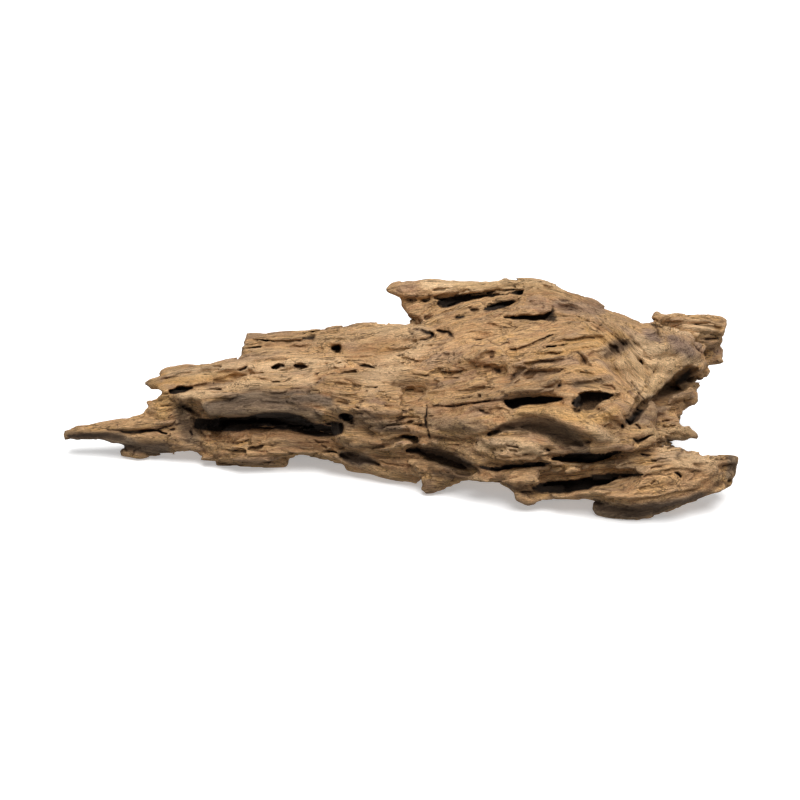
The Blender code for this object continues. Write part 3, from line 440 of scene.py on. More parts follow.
FOOT_ROWS = (
    ("strand_over_wedge", LEDGE, 2.6, 0.3, (586, 474, 3), (605, 468, 4), (620, 464, 5), (635, 461, 5),
     (648, 458, 3)),
    ("thin_seam", GOUGE, 2, 0.7, (643, 477, 0.9), (652, 474, 1.2), (661, 474, 1.1), (672, 475, 0.9)),
    ("strand_under_wedge", RIDGE, 2, 0, (550, 498, 1.2), (570, 495.5, 2.6), (590, 493, 3.6),
     (605, 491, 3.2), (618, 489, 1.6)),
    ("lower_edge", LEDGE, 3, 0.3, (588, 497, 4), (610, 498, 6), (640, 497, 7), (665, 494, 6), (690, 490, 5),
     (708, 484, 2)),
    ("second_lower_edge", LEDGE, 2, 0.3, (600, 507, 3), (625, 508, 4), (650, 507, 4), (675, 503, 2)),
    ("butt_pit_one", GOUGE, 4, 0.85, (633, 438, 1), (638, 440.5, 2.3), (645, 438.5, 1.6), (652, 436, 0.8)),
    ("butt_pit_two", GOUGE, 3, 0.8, (636, 425, 1.5), (639.5, 428.5, 1.6)),
    ("butt_pit_three", GOUGE, 3, 0.8, (646, 427, 1), (652, 426.5, 1.7), (658, 425.5, 1)),
    ("butt_pit_four", GOUGE, 3, 0.7, (640, 454, 1), (645, 456, 1.7), (650, 455.5, 1)),
    ("butt_pit_five", GOUGE, 5, 0.75, (684, 449, 1.5), (679, 453, 3.2), (676, 458, 2.2), (681, 460, 1.2)),
    ("butt_pit_six", GOUGE, 4, 0.9, (674, 472.5, 1.2), (678, 474, 2.2), (680, 476.5, 1.6)),
    ("butt_pit_seven", GOUGE, 3, 0.8, (650, 484, 1.2), (654, 481.5, 1.6)),
    ("butt_pit_eight", GOUGE, 2, 0.4, (693, 463, 1.2), (700, 465, 2.8), (707, 463, 1.2)),
    ("butt_pit_nine", GOUGE, 3, 0.7, (662, 462, 1), (667, 460.5, 2), (672, 462, 1)),
    ("butt_pit_ten", GOUGE, 2.6, 0.6, (651, 468, 1), (657, 466, 1.8), (663, 467.5, 1)),
    ("butt_pit_eleven", GOUGE, 2.4, 0.6, (690, 472.5, 1), (696, 471, 1.8), (702, 472, 1)),
    ("butt_pit_twelve", GOUGE, 2.6, 0.7, (667, 448.5, 1), (673, 446.5, 1.7), (679, 448, 1)),
    ("butt_terrace_high", LEDGE, 2, 0.2, (630, 447, 2), (646, 444.5, 3), (662, 442, 3), (676, 443, 2)),
    ("butt_terrace_middle", LEDGE, 2.4, 0.25, (638, 463, 2), (655, 458.5, 3), (672, 456.5, 3),
     (692, 458, 2)),
    ("butt_terrace_low", LEDGE, 2.2, 0.2, (646, 473, 2), (664, 469, 3), (684, 467.5, 3), (706, 470, 2)),
    ("butt_slit", GOUGE, 2, 0.7, (714, 459.5, 0.9), (719, 459.5, 1.2), (726, 458.5, 0.9)),
    ("butt_arch", GOUGE, 2.2, 0.7, (659, 443, 0.8), (668, 440, 1.4), (678, 442, 0.8)),
    ("butt_arch_high", GOUGE, 1.8, 0.6, (662, 421, 0.8), (668, 420, 1.2), (675, 417.5, 0.8)),
    ("butt_valley", GOUGE, 2.2, 0.45, (664, 455, 2), (676, 452, 2.6), (690, 453, 1.4)),
    ("butt_strand_high", RIDGE, 1.6, 0, (634, 433, 1.6), (652, 431, 3), (672, 431, 3), (694, 434, 2)),
    ("butt_strand_low", RIDGE, 1.6, 0, (620, 452, 2), (640, 447, 3), (660, 446, 3), (680, 444, 1.6)),
    ("foot_spot_one", GOUGE, 2, 0.7, (599, 489, 1), (605, 490.5, 1.6), (612, 491, 0.8)),
    ("foot_spot_two", GOUGE, 2.4, 0.6, (625, 507, 1), (631, 507, 1.9), (637, 506.5, 1)),
    ("foot_shade", GOUGE, 1, 0.65, (598, 508, 5), (612, 511, 7), (635, 511, 8), (665, 505, 7),
     (700, 494, 5), (722, 482, 4)),
    ("foot_end", GOUGE, 3, 0.5, (595, 501, 2), (598, 507, 3.6), (604, 512, 2.4)),
    ("dark_under_thin_slot", GOUGE, 2, 0.4, (518, 483, 3), (526, 489, 5), (530, 496, 5)),
)

BACK_ROWS = (
    ("back_bore_one", GOUGE, 8, 0.9, (303, 338, 2), (309, 337, 4.2), (313.5, 337, 3)),
    ("back_groove", GOUGE, 2.6, 0.4, (260, 340, 0.9), (275, 341.5, 1.6), (290, 341.5, 1.9), (304, 340, 2)),
    ("back_bore_two", GOUGE, 8, 1, (334, 348, 2.6), (339, 347.5, 3.2)),
    ("back_bore_three", GOUGE, 7, 0.9, (271.5, 368, 1.6), (277, 367, 3.1), (282.5, 366.5, 2.6)),
    ("back_bore_four", GOUGE, 7, 0.9, (297, 367, 3.1), (302, 366.5, 3.4), (308, 367.5, 1.5)),
    ("back_bore_five", GOUGE, 4.5, 0.85, (357, 364, 1), (363, 365.5, 2), (370, 366.5, 1.7),
     (375, 367.5, 0.8)),
    ("back_crack", GOUGE, 2.2, 0.7, (351, 361, 0.8), (359, 360, 1.3), (368, 360.5, 0.9)),
    ("back_patch_one", GOUGE, 1.6, 0.4, (326, 340, 1), (335, 339, 2.4), (345, 341, 1)),
    ("back_patch_two", GOUGE, 1.4, 0.45, (323, 333, 0.8), (330, 333, 1.5), (336, 333, 0.8)),
    ("back_step", LEDGE, 1.8, 0.25, (244, 350, 2), (262, 350, 3), (278, 347, 3), (292, 346, 3),
     (313, 344, 2)),
    ("back_wave", RIDGE, 1.2, 0, (307, 370, 1.6), (316, 363.5, 2), (328, 361.5, 2), (336, 365, 1.6),
     (343, 368, 1)),
    ("back_lobe_edge", LEDGE, 2, 0.15, (246, 366, 2), (254, 372, 3), (263, 378, 4), (280, 380, 4),
     (296, 376, 3), (312, 373, 2)),
    ("back_lobe_edge_two", LEDGE, 1.6, 0.1, (312, 372, 2), (330, 373, 3), (345, 370, 3), (362, 370, 2)),
)

SHELF_ROWS = (
    ("shelf_shade", GOUGE, 0.6, 0.5, (214, 409, 5), (240, 404, 8), (270, 401, 9), (298, 401, 8),
     (318, 404, 5)),
    ("shelf_brow", LEDGE, 1.6, 0, (202, 408, 3), (212, 401, 4), (226, 399, 5), (240, 395, 6), (250, 389, 7),
     (262, 388, 7), (275, 391, 6), (290, 390, 5), (304, 389, 4), (318, 391, 2)),
    ("shelf_brow_low", LEDGE, 1.2, 0.2, (210, 409, 2), (232, 407, 3), (255, 403, 3), (280, 402, 3),
     (300, 404, 2)),
    ("shelf_left_edge", GOUGE, 5, 0.75, (178, 399, 1.6), (184, 405, 3), (191, 410, 3.6), (199, 415.5, 3)),
    ("gap_behind_shelf", TRENCH, 9, 1, (171, 391.5, 2), (178, 390.5, 2.9), (186, 389, 2.1),
     (193, 388.3, 1)),
    ("gap_going_on", GOUGE, 3.4, 0.55, (189, 387.5, 1.6), (205, 385.5, 2.1), (218, 384, 2.3),
     (226, 384, 1.6), (233, 381, 0.9)),
    ("long_cavity", TRENCH, 6, 1, (200, 424, 5.6), (215, 424.5, 6.4), (235, 424.5, 6.6), (252, 423, 7.2),
     (270, 420.5, 8.5), (288, 421, 8.5), (302, 425, 8), (315, 429.5, 6.6), (326, 430.5, 6.5),
     (335, 430, 5.6)),
    ("cavity_end", TRENCH, 6, 1, (316, 431, 3.5), (326, 430, 6.4), (334, 429.5, 7), (337, 429, 6.5)),
    ("cavity_mouth", GOUGE, 5, 0.6, (193, 418, 3), (199, 427, 6), (204, 436, 4)),
    ("shelf_crack_one", GOUGE, 1.8, 0.6, (279, 449, 0.9), (288, 452, 1.3), (301, 455.5, 0.9)),
    ("shelf_crack_two", GOUGE, 1.6, 0.5, (251, 450, 0.8), (262, 450.5, 1.1), (273, 449.5, 0.8)),
    ("shelf_pit_one", GOUGE, 2.4, 0.6, (314, 441, 1.1), (320, 442, 1.9), (328, 442, 1)),
    ("shelf_pit_two", GOUGE, 2.2, 0.6, (321, 445.5, 0.9), (326, 448, 1.7)),
    ("shelf_arch", GOUGE, 2.2, 0.6, (313, 456, 0.9), (322, 452.5, 1.5), (331, 452, 1.3), (339, 455, 0.9)),
    ("under_plate", LEDGE, 4.5, 0.6, (214, 461, 3), (235, 461.5, 5), (255, 461, 5), (272, 460.5, 5),
     (287, 460, 3)),
    ("shelf_step", LEDGE, 1.6, 0.3, (202, 438, 2), (215, 440, 3), (232, 441, 3), (252, 438, 2)),
    ("shelf_step_two", LEDGE, 1.4, 0.2, (225, 447, 2), (245, 446, 3), (270, 444, 3), (300, 446, 2)),
    ("shelf_end", GOUGE, 2.4, 0.5, (202, 443, 1.6), (203, 449, 2.4), (206, 455, 1.4)),
    ("hole_by_cavity", TRENCH, 10, 1, (340.5, 417, 2.6), (346, 416.6, 3.8), (351.5, 416.5, 2.6)),
    ("red_shelf_over_hole", GOUGE, 2.6, 0.55, (349, 412.5, 1.6), (356, 413, 2.2), (363, 413, 1)),
    ("slanted_seam", GOUGE, 1.8, 0.6, (337, 402, 0.9), (348, 404.5, 1.2), (359, 407.5, 0.9)),
    ("seam_spot", GOUGE, 2.6, 0.8, (359, 402, 1.4), (363, 401.5, 1.4)),
    ("seam_pit_one", GOUGE, 2.2, 0.7, (401, 404.5, 0.9), (406, 405, 1.5), (411, 404.5, 0.8)),
    ("seam_pit_two", GOUGE, 2.2, 0.7, (389, 421, 0.8), (398, 419.5, 1.3), (407, 417.5, 1.3)),
    ("seam_pit_three", GOUGE, 2.2, 0.7, (406, 423, 0.9), (412, 421.5, 1.4)),
    ("seam_pit_four", GOUGE, 1.8, 0.55, (376, 429, 0.8), (382, 427, 1.1), (389, 425, 0.8)),
    ("hollow_under_seam", GOUGE, 7, 0.7, (341, 456, 3), (350, 457, 6), (360, 459, 7), (370, 461, 4.6),
     (379, 464.5, 1.5)),
    ("hollow_brow", RIDGE, 1.6, 0, (336, 451, 1.5), (350, 449.5, 2), (366, 452, 2), (377, 457, 1.4)),
    ("curved_strand_one", RIDGE, 1.2, 0, (350, 448, 1.2), (363, 444, 1.8), (378, 440, 1.8),
     (397, 433, 1.2)),
    ("curved_valley", GOUGE, 1.4, 0.4, (352, 452, 0.8), (366, 448.5, 1.3), (380, 445, 1.2)),
    ("orange_step", LEDGE, 1.8, 0.2, (372, 461, 2), (385, 459, 3), (400, 461, 3), (418, 466, 2)),
)

COMB_ROWS = (
    ("spike_groove", GOUGE, 5, 1, (107, 429, 0.8), (118, 430, 1.3), (126, 431.5, 2.2), (138, 431.5, 2.4),
     (150, 430.5, 2.1), (158, 430.5, 1.6), (166, 434.5, 1.1)),
    ("spike_groove_end", GOUGE, 2.2, 0.7, (158, 429, 0.9), (165, 427.5, 1.1), (172, 425, 0.9),
     (176, 420, 0.8)),
    ("spike_shade", GOUGE, 0.8, 0.8, (68, 436.5, 2.4), (84, 435.5, 4.4), (104, 435.5, 5), (122, 438, 5)),
    ("flap_shade", GOUGE, 0.6, 0.45, (126, 447, 7), (150, 446, 9), (174, 443, 8)),
    ("spike_spot", GOUGE, 1.4, 0.5, (85, 428.5, 1), (89, 430, 1.8), (92, 432, 0.9)),
    ("flap_crack", GOUGE, 2.2, 0.8, (133.5, 456, 1.1), (134.5, 451, 1.2), (140, 447, 0.8)),
    ("flap_notch", GOUGE, 3, 0.8, (122, 446, 1.4), (127, 450, 1.7)),
    ("flap_crack_right", GOUGE, 2.2, 0.7, (167, 443, 0.8), (168.5, 438, 1.3), (170, 434, 0.8)),
    ("web_hole_one", GOUGE, 4.5, 1, (190, 431.5, 1.3), (192, 435, 1.6)),
    ("web_hole_two", GOUGE, 2.4, 0.7, (170, 430.5, 1.2), (174, 429.5, 1.2)),
    ("comb_slit", GOUGE, 2, 0.7, (160.5, 405.5, 0.9), (166, 405.5, 1.2), (173, 405, 0.9)),
    ("comb_neck", GOUGE, 2.4, 0.55, (160, 394.5, 0.9), (166, 394, 1.4), (173, 393, 1.2)),
    ("comb_line_one", GOUGE, 1.2, 0.35, (150, 400.5, 0.8), (158, 400, 1), (168, 399, 0.8)),
    ("comb_line_two", GOUGE, 1.2, 0.35, (150, 410.5, 0.8), (160, 411, 1), (172, 410, 0.8)),
    ("yellow_strand_top", LEDGE, 1.5, 0.25, (159, 377, 2), (180, 376.5, 2.6), (205, 373.5, 3),
     (225, 370, 3), (239, 366.5, 2)),
    ("yellow_strand", RIDGE, 1.2, 0, (166, 381, 2), (185, 380, 3), (208, 377.5, 3), (232, 374.5, 2)),
    ("strand_pit", GOUGE, 1.5, 0.55, (198, 371.5, 0.8), (204, 372.5, 1.3), (210, 372.5, 0.8)),
    ("strand_end_pit", GOUGE, 3, 0.75, (238, 369.8, 1.1), (244, 368.5, 1.7), (248.5, 366, 0.9)),
    ("yellow_strand_foot", LEDGE, 2.2, 0.2, (167, 386, 2), (190, 385, 2.6), (212, 382, 2.6),
     (235, 380, 1.6)),
    ("web_shade", GOUGE, 2, 0.2, (180, 410, 4), (184, 420, 7), (188, 430, 8), (190, 440, 5)),
)

GROWTH_ROWS = (
    ("spike", (66.5, 437, 14, 1.3), (70, 434.8, 14, 2.5), (76, 433.4, 14, 3.6), (88, 432.2, 14, 4.6),
     (100, 431.3, 14, 5.6), (118, 430.3, 14, 7.2), (135, 430, 14, 8)),
    ("prong_high", (147, 383.5, 24, 1.2), (151, 383.4, 24, 2.5), (157, 383.3, 24, 3.4), (165, 383, 25, 4.2),
     (176, 382, 26, 4.6)),
    ("prong_low", (150, 404, 17, 2.4), (150, 409, 17, 3.2), (157, 408, 17, 5.4), (168, 408, 17, 6.2)),
    ("crest_left_end", (164, 373, 32, 2.6), (170, 372.2, 33, 3.6), (186, 371, 34, 4.2)),
    ("crest_step", (205, 369.5, 30, 3), (222, 366, 32, 3.6), (236, 363.5, 35, 3.8), (250, 361, 37, 4)),
    ("crest_bed", (208, 372, 29, 3.4), (224, 369, 30, 4.2), (240, 367, 32, 4.2), (252, 365, 34, 4)),
    ("comb_back", (168, 391, 24, 4), (182, 390, 26, 4.6), (198, 389, 31, 4.6)),
    ("flap_end", (125, 452, 11, 2.8), (134, 451, 11, 3.8), (150, 449, 11, 4.4)),
    ("rim_head", (388.5, 289.3, 74, 1.6), (391.5, 289, 74.5, 2.8), (396, 289, 75, 4), (404, 289.5, 75, 5.2),
     (414, 292, 74, 5.6)),
    ("rim_neck", (404.5, 299, 73, 3), (408.5, 306, 71, 3.6), (414.5, 311.5, 69, 3.8), (422, 315, 66, 4)),
    ("rim_bed", (414, 291, 74, 5), (424, 290, 74, 5), (434, 291, 74, 5), (448, 293, 75, 5)),
    ("rim_back", (428, 304, 79, 6), (443, 303.5, 81, 6), (462, 302, 81, 6)),
    ("cavity_back", (290, 430, 37, 4.5), (315, 431, 39, 5.5), (340, 431, 39, 5.5)),
    ("fan_edge", (702, 360, 7, 2.8), (690, 359.5, 4, 3.8), (680, 363, -3, 4.2), (671, 370, -6, 4.4),
     (662, 377.5, -10, 4.4), (654, 385, -17, 4.4), (646, 393.5, -27, 4.2)),
    ("fan_heart", (680, 356, -2, 5), (668, 362, -6, 5.6), (659, 370, -8, 5.6), (651, 378, -14, 5.6),
     (643, 387, -22, 5.4)),
    ("fan_fill", (650, 345, -6, 5), (663, 347, -5, 5.5), (676, 350, -3, 5.5), (687, 353, 1, 5),
     (697, 356, 5, 4)),
    ("belly_rim", (514, 490, -61, 3), (521, 496, -61, 3.6), (530, 500, -61, 3.6), (545, 497, -60, 3.4),
     (562, 495.5, -61, 3.4)),
    ("belly_bed", (518, 490, -58, 4), (531, 493.5, -57, 4.6), (546, 492, -56, 4.6), (560, 491, -57, 4.2)),
    ("foot_heel", (596, 503, -64, 4.2), (602, 508, -66, 5), (618, 511, -68, 5), (634, 511.5, -69, 5),
     (648, 509.5, -70, 4.4)),
    ("under_seam", (341, 462, -14, 2.8), (350, 465.5, -16, 3.2), (362, 468, -20, 3.2), (382, 469, -22, 3.2),
     (400, 474.5, -26, 3.2), (416, 479, -30, 3)),
    ("cavity_lip", (212, 411, -8, 3), (235, 409.5, -8, 3.4), (262, 408.5, -9, 3.6), (290, 409, -10, 3.6),
     (311, 413, -13, 3.4), (322, 417, -10, 3)),
    ("fan_root", (630, 364, -19, 5.5), (634, 372, -20, 6), (638, 380, -22, 6), (641, 388, -27, 5)),
    ("shelf_lip", (220, 463, -1, 3), (240, 463, -2, 3.2), (262, 463, -3, 3.2), (283, 463, -5, 3)),
    ("cleft_back", (702, 373, 15, 4.5), (688, 379, 17, 6), (672, 389, 17, 6)),
    ("cleft_wall", (704, 369, 14, 4), (694, 368, 14, 5.5), (684, 371, 14, 6.5), (674, 378, 14, 6.5)),
    ("cleft_nub_high", (692, 378, 12, 3.5), (699, 373.5, 9, 3.8), (700, 378, 9, 3.8)),
    ("cleft_nub_low", (688, 386, 12, 4), (695, 385, 9, 3.4)),
    ("butt_prong", (672, 437, -20, 4.2), (684, 434, -21, 3.6), (691, 434, -21, 2.8), (696, 437, -21, 1.4)),
    ("spur_plate", (431, 488, -40, 3), (440, 484, -39, 3.8), (452, 480, -38, 3.6), (466, 477, -38, 3)),
)

BITE_ROWS = (
    ("cleft_bite", (690, 375, 1, 2.4), (683, 380, 2, 3.2), (676, 386, 1, 3.8), (668, 391, -3, 4),
     (661, 396, -10, 3.8), (654, 401.5, -25, 3.2), (648, 406.5, -35, 3)),
)

# The outline is cut along these, from outside the wood.
OUTLINE_ROWS = (
    ("over_rim", (380, 273, 8), (405, 273, 8), (422, 271, 8), (455, 273, 8), (485, 273.5, 8), (507, 272, 8),
     (540, 271.5, 8), (556, 277, 8), (568, 284, 8), (584, 288, 8), (598, 293, 8), (614, 303, 8),
     (628, 309, 8), (641, 316, 7), (647, 318, 6)),
    ("block_over", (652, 290, 5), (672, 285, 6), (700, 280, 6), (720, 282, 6), (734, 292, 5)),
    ("butt_notch", (694, 414, 8), (688, 419, 8), (686, 422, 6)),
    ("butt_notch_low", (704, 446, 4), (692, 449, 4), (684, 447.5, 2)),
    ("over_foot", (692, 447, 5), (710, 449.5, 6), (730, 448.5, 7), (742, 452, 5)),
    ("right_of_foot", (745, 460, 7), (744, 474, 7), (738, 488, 7)),
    ("under_foot", (735, 494, 8), (714, 503, 9), (690, 512, 9), (665, 523, 9), (640, 530, 8), (610, 530, 8),
     (590, 522, 8)),
    ("under_belly", (450, 494, 7), (466, 489, 7), (482, 487, 6), (500, 492, 8), (507, 500, 8),
     (511, 507, 8), (520, 512, 8), (528, 513.5, 8), (545, 509.5, 8), (562, 508, 8), (574, 508.5, 8),
     (582, 516, 8)),
    ("under_spur", (418, 493, 5), (426, 499, 5), (438, 497, 6)),
    ("over_shelf_back", (249, 325, 4), (243, 332, 4), (240, 345, 4), (239, 354, 3)),
    ("over_comb", (150, 372, 5), (152, 369, 6), (160, 363, 5), (180, 360, 5)),
    ("comb_notch", (144, 394, 5), (152, 394, 5), (158, 393, 3.4)),
    ("over_spike", (64, 424, 6), (80, 419, 6), (100, 415, 6), (125, 411, 6), (141, 407, 6)),
    ("under_spike", (62, 446, 7), (90, 446, 7), (106, 448, 7), (114, 455, 7)),
    ("under_web", (180, 458, 6), (189, 456, 6), (195, 458, 6), (192, 464, 6)),
)

STROKES = tuple(Stroke(name, CUT, 0.0, stations) for name, *stations in OUTLINE_ROWS) + tuple(
    Stroke(name, profile, depth, stations, stain_and_shade)
    for name, profile, depth, stain_and_shade, *stations in (
        RIM_ROWS + KNOT_ROWS + FAN_ROWS + BLOCK_ROWS + MIDDLE_ROWS
        + FOOT_ROWS + BACK_ROWS + SHELF_ROWS + COMB_ROWS
    )
)
TINTS = tuple(Tint(name, tone, strength, stations) for name, tone, strength, *stations in TINT_ROWS)
GROWTHS = tuple(Growth(name, stations) for name, *stations in GROWTH_ROWS) + tuple(
    Growth(name, stations, bite=True) for name, *stations in BITE_ROWS
)


@dataclass(frozen=True)
class PictureView:
    """The camera of the picture, and where a point of the wood falls in it."""

    centre: tuple = VIEW_CENTRE
    distance: float = VIEW_DISTANCE
    tilt: float = VIEW_TILT
    width: float = PICTURE_WIDTH
    side: int = PICTURE_SIDE

    @property
    def ahead(self) -> Vector:
        """Returns the direction in which the camera looks."""
        return Vector((0.0, math.cos(self.tilt), -math.sin(self.tilt)))

    @property
    def upward(self) -> Vector:
        """Returns the direction that is up in the picture."""
        return Vector((0.0, math.sin(self.tilt), math.cos(self.tilt)))

    @property
    def eye(self) -> Vector:
        """Returns the place of the camera, in metres."""
        return Vector(self.centre) - self.ahead * self.distance

    @property
    def focal_pixels(self) -> float:
        """Returns the focal length in pixels of the picture."""
        return self.side * self.distance / self.width

    @property
    def lens(self) -> float:
        """Returns the focal length in millimetres for the sensor width."""
        return SENSOR_WIDTH * self.distance / self.width

    def ray(self, column: float, row: float) -> Vector:
        """Finds the direction from the eye through one point of the picture.

        Args:
            column: Pixel column.
            row: Pixel row.

        Returns:
            The direction, one long.
        """
        sideways = (column - self.side / 2) / self.focal_pixels
        downward = (row - self.side / 2) / self.focal_pixels
        return (self.ahead + Vector((sideways, 0.0, 0.0)) - self.upward * downward).normalized()

    def project(self, points: np.ndarray) -> tuple:
        """Finds where points fall in the picture.

        Args:
            points: Points in millimetres, one a row.

        Returns:
            Pixel columns, pixel rows, distances from the eye and unit directions from the eye.
        """
        away = points - np.array(self.eye, np.float32) / MM
        depth = away @ np.array(self.ahead, np.float32)
        rise = away @ np.array(self.upward, np.float32)
        columns = self.side / 2 + self.focal_pixels * away[:, 0] / depth
        rows = self.side / 2 - self.focal_pixels * rise / depth
        distance = np.sqrt(np.einsum("ij,ij->i", away, away))
        return columns, rows, distance, away / distance[:, None]


def in_parts(items: np.ndarray, work: Callable, size: int = 400_000) -> list:
    """Works through a long list in parts, several at a time.

    Args:
        items: The list.
        work: Takes one part and returns its result.
        size: The most items in a part.

    Returns:
        The results, in order.
    """
    parts = [items[start:start + size] for start in range(0, len(items), size)]
    with ThreadPoolExecutor(max_workers=4) as workers:
        return list(workers.map(work, parts))


def trilinear(volume: np.ndarray, cells: np.ndarray) -> np.ndarray:
    """Reads a volume between its cells.

    Args:
        volume: A three-dimensional array.
        cells: Positions in cells, one a row; they are held inside the volume.

    Returns:
        One value for each position.
    """
    shape = np.array(volume.shape, np.float32)
    held = np.clip(cells, 0.0, shape - 1.001).astype(np.float32)
    corner = held.astype(np.int32)
    part = held - corner
    flat = volume.ravel()
    base = (corner[:, 0] * volume.shape[1] + corner[:, 1]) * volume.shape[2] + corner[:, 2]
    step_x = volume.shape[1] * volume.shape[2]
    step_y = volume.shape[2]
    rows = []
    for offset in (0, step_y, step_x, step_x + step_y):
        near = flat.take(base + offset)
        far = flat.take(base + offset + 1)
        rows.append(near + (far - near) * part[:, 2])
    low = rows[0] + (rows[1] - rows[0]) * part[:, 1]
    high = rows[2] + (rows[3] - rows[2]) * part[:, 1]
    return low + (high - low) * part[:, 0]


def bilinear(sheet: np.ndarray, across: np.ndarray, down: np.ndarray) -> np.ndarray:
    """Reads a sheet between its cells.

    Args:
        sheet: A two-dimensional array, rows first.
        across: Positions along a row, in cells.
        down: Positions down a column, in cells.

    Returns:
        One value for each position.
    """
    across = np.clip(across, 0.0, sheet.shape[1] - 1.001)
    down = np.clip(down, 0.0, sheet.shape[0] - 1.001)
    left = across.astype(np.int32)
    top = down.astype(np.int32)
    part_x = across - left
    part_y = down - top
    upper = sheet[top, left] * (1 - part_x) + sheet[top, left + 1] * part_x
    lower = sheet[top + 1, left] * (1 - part_x) + sheet[top + 1, left + 1] * part_x
    return (upper * (1 - part_y) + lower * part_y).astype(np.float32)


def mesh_points(mesh: bpy.types.Mesh) -> np.ndarray:
    """Returns the points of a mesh in millimetres."""
    points = np.empty(len(mesh.vertices) * 3, np.float32)
    mesh.vertices.foreach_get("co", points)
    return points.reshape(-1, 3) / MM


def eased(value: np.ndarray) -> np.ndarray:
    """Returns a smooth step from 0 to 1."""
    held = np.clip(value, 0.0, 1.0)
    return held * held * (3.0 - 2.0 * held)


@dataclass
class NoiseTile:
    """Repeating smooth noise between -1 and 1."""

    seed: int
    side: int = 64
    cells: np.ndarray = field(init=False)

    def __post_init__(self) -> None:
        """Fills the tile from its seed."""
        generator = np.random.default_rng(self.seed)
        self.cells = generator.uniform(-1.0, 1.0, self.side**3).astype(np.float32)

    def at(self, points: np.ndarray) -> np.ndarray:
        """Reads the noise.

        Args:
            points: Positions in noise cells, one a row.

        Returns:
            One value for each position.
        """
        floor = np.floor(points)
        part = (points - floor).astype(np.float32)
        part = part * part * (3.0 - 2.0 * part)
        corner = floor.astype(np.int32)
        mask = self.side - 1
        low = corner & mask
        high = (corner + 1) & mask
        column_low = low[:, 0] * self.side
        column_high = high[:, 0] * self.side
        rows = []
        for column in (column_low, column_high):
            for line in (low[:, 1], high[:, 1]):
                base = (column + line) * self.side
                near = self.cells.take(base + low[:, 2])
                far = self.cells.take(base + high[:, 2])
                rows.append(near + (far - near) * part[:, 2])
        near = rows[0] + (rows[1] - rows[0]) * part[:, 1]
        far = rows[2] + (rows[3] - rows[2]) * part[:, 1]
        return near + (far - near) * part[:, 0]


# Lines of the grain across the picture, as columns and rows. Each stands under its row at column 400.
FLOW_LINES = {
    280: ((60, 395), (160, 352), (240, 325), (320, 316), (400, 280), (540, 279), (600, 303),
     (650, 322), (690, 310), (740, 318)),
    318: ((60, 405), (160, 362), (240, 340), (320, 333), (400, 318), (450, 303), (520, 292),
     (560, 298), (610, 322), (645, 350), (690, 352), (740, 345)),
    345: ((60, 415), (160, 374), (240, 356), (320, 350), (400, 345), (470, 335), (540, 325),
     (580, 322), (620, 345), (655, 380), (700, 380), (740, 380)),
    368: ((60, 423), (160, 383), (240, 372), (320, 368), (400, 368), (470, 360), (540, 350),
     (590, 340), (615, 358), (645, 390), (690, 393), (740, 395)),
    384: ((60, 427), (160, 395), (240, 386), (320, 384), (400, 384), (470, 378), (540, 368),
     (590, 358), (615, 375), (640, 398), (690, 404), (740, 408)),
    400: ((60, 430), (160, 408), (240, 396), (320, 398), (400, 400), (470, 396), (520, 388),
     (570, 380), (610, 388), (645, 410), (700, 418), (740, 420)),
    416: ((60, 433), (160, 425), (240, 412), (320, 415), (400, 416), (470, 408), (520, 400),
     (570, 398), (620, 408), (660, 424), (700, 430), (740, 435)),
    436: ((60, 436), (160, 436), (240, 436), (320, 436), (400, 436), (450, 428), (500, 430),
     (540, 425), (590, 432), (640, 432), (700, 438), (740, 440)),
    458: ((60, 440), (160, 450), (240, 452), (320, 450), (400, 458), (450, 452), (500, 448),
     (560, 452), (620, 448), (680, 446), (740, 452)),
    474: ((60, 446), (160, 460), (240, 464), (320, 460), (400, 474), (470, 470), (540, 464),
     (600, 462), (650, 460), (740, 462)),
    487: ((60, 455), (160, 470), (320, 475), (400, 487), (470, 486), (540, 484), (600, 480),
     (660, 474), (740, 468)),
    505: ((60, 480), (300, 495), (480, 503), (600, 505), (680, 495), (740, 484)),
    530: ((60, 510), (300, 525), (600, 535), (740, 510)),
}


@dataclass
class GrainMap:
    """The grain across the picture: each point's row, followed along the grain to one reference column."""

    first_column: int = 40
    last_column: int = 760
    first_row: int = 240
    last_row: int = 560
    sheet: np.ndarray = field(init=False)

    def __post_init__(self) -> None:
        """Spreads the lines over the picture, one column at a time."""
        columns = np.arange(self.first_column, self.last_column + 1)
        rows = np.arange(self.first_row, self.last_row + 1, dtype=np.float32)
        labels = np.array(list(FLOW_LINES), np.float32)
        heights = np.array([smooth_row(points, columns) for points in FLOW_LINES.values()])
        self.sheet = np.empty((len(rows), len(columns)), np.float32)
        for index in range(len(columns)):
            spread = np.interp(rows, heights[:, index], labels)
            spread += np.minimum(rows - heights[0, index], 0.0)
            spread += np.maximum(rows - heights[-1, index], 0.0)
            self.sheet[:, index] = spread
        self.sheet = softened(softened(self.sheet, 0, 4), 1, 6)

    def at(self, columns: np.ndarray, rows: np.ndarray) -> np.ndarray:
        """Returns the reference row of each point of the picture."""
        return bilinear(self.sheet, columns - self.first_column, rows - self.first_row)

    def coordinates(self, view: PictureView, points: np.ndarray) -> np.ndarray:
        """Finds coordinates that run along the grain, across it and into the wood.

        Args:
            view: The camera of the picture.
            points: Points in millimetres, one a row.

        Returns:
            Three coordinates in millimetres for each point.
        """
        columns, rows, distance, _ = view.project(points)
        scale = view.width / MM / view.side
        across = self.at(columns, rows) * scale
        return np.stack([points[:, 0], across, distance], axis=1).astype(np.float32)


def smooth_row(points: tuple, columns: np.ndarray) -> np.ndarray:
    """Returns the height of a smooth line through points at each column."""
    places = np.array(points, float)
    fine = catmull_rom(places, 12)
    return np.interp(columns, fine[:, 0], fine[:, 1])


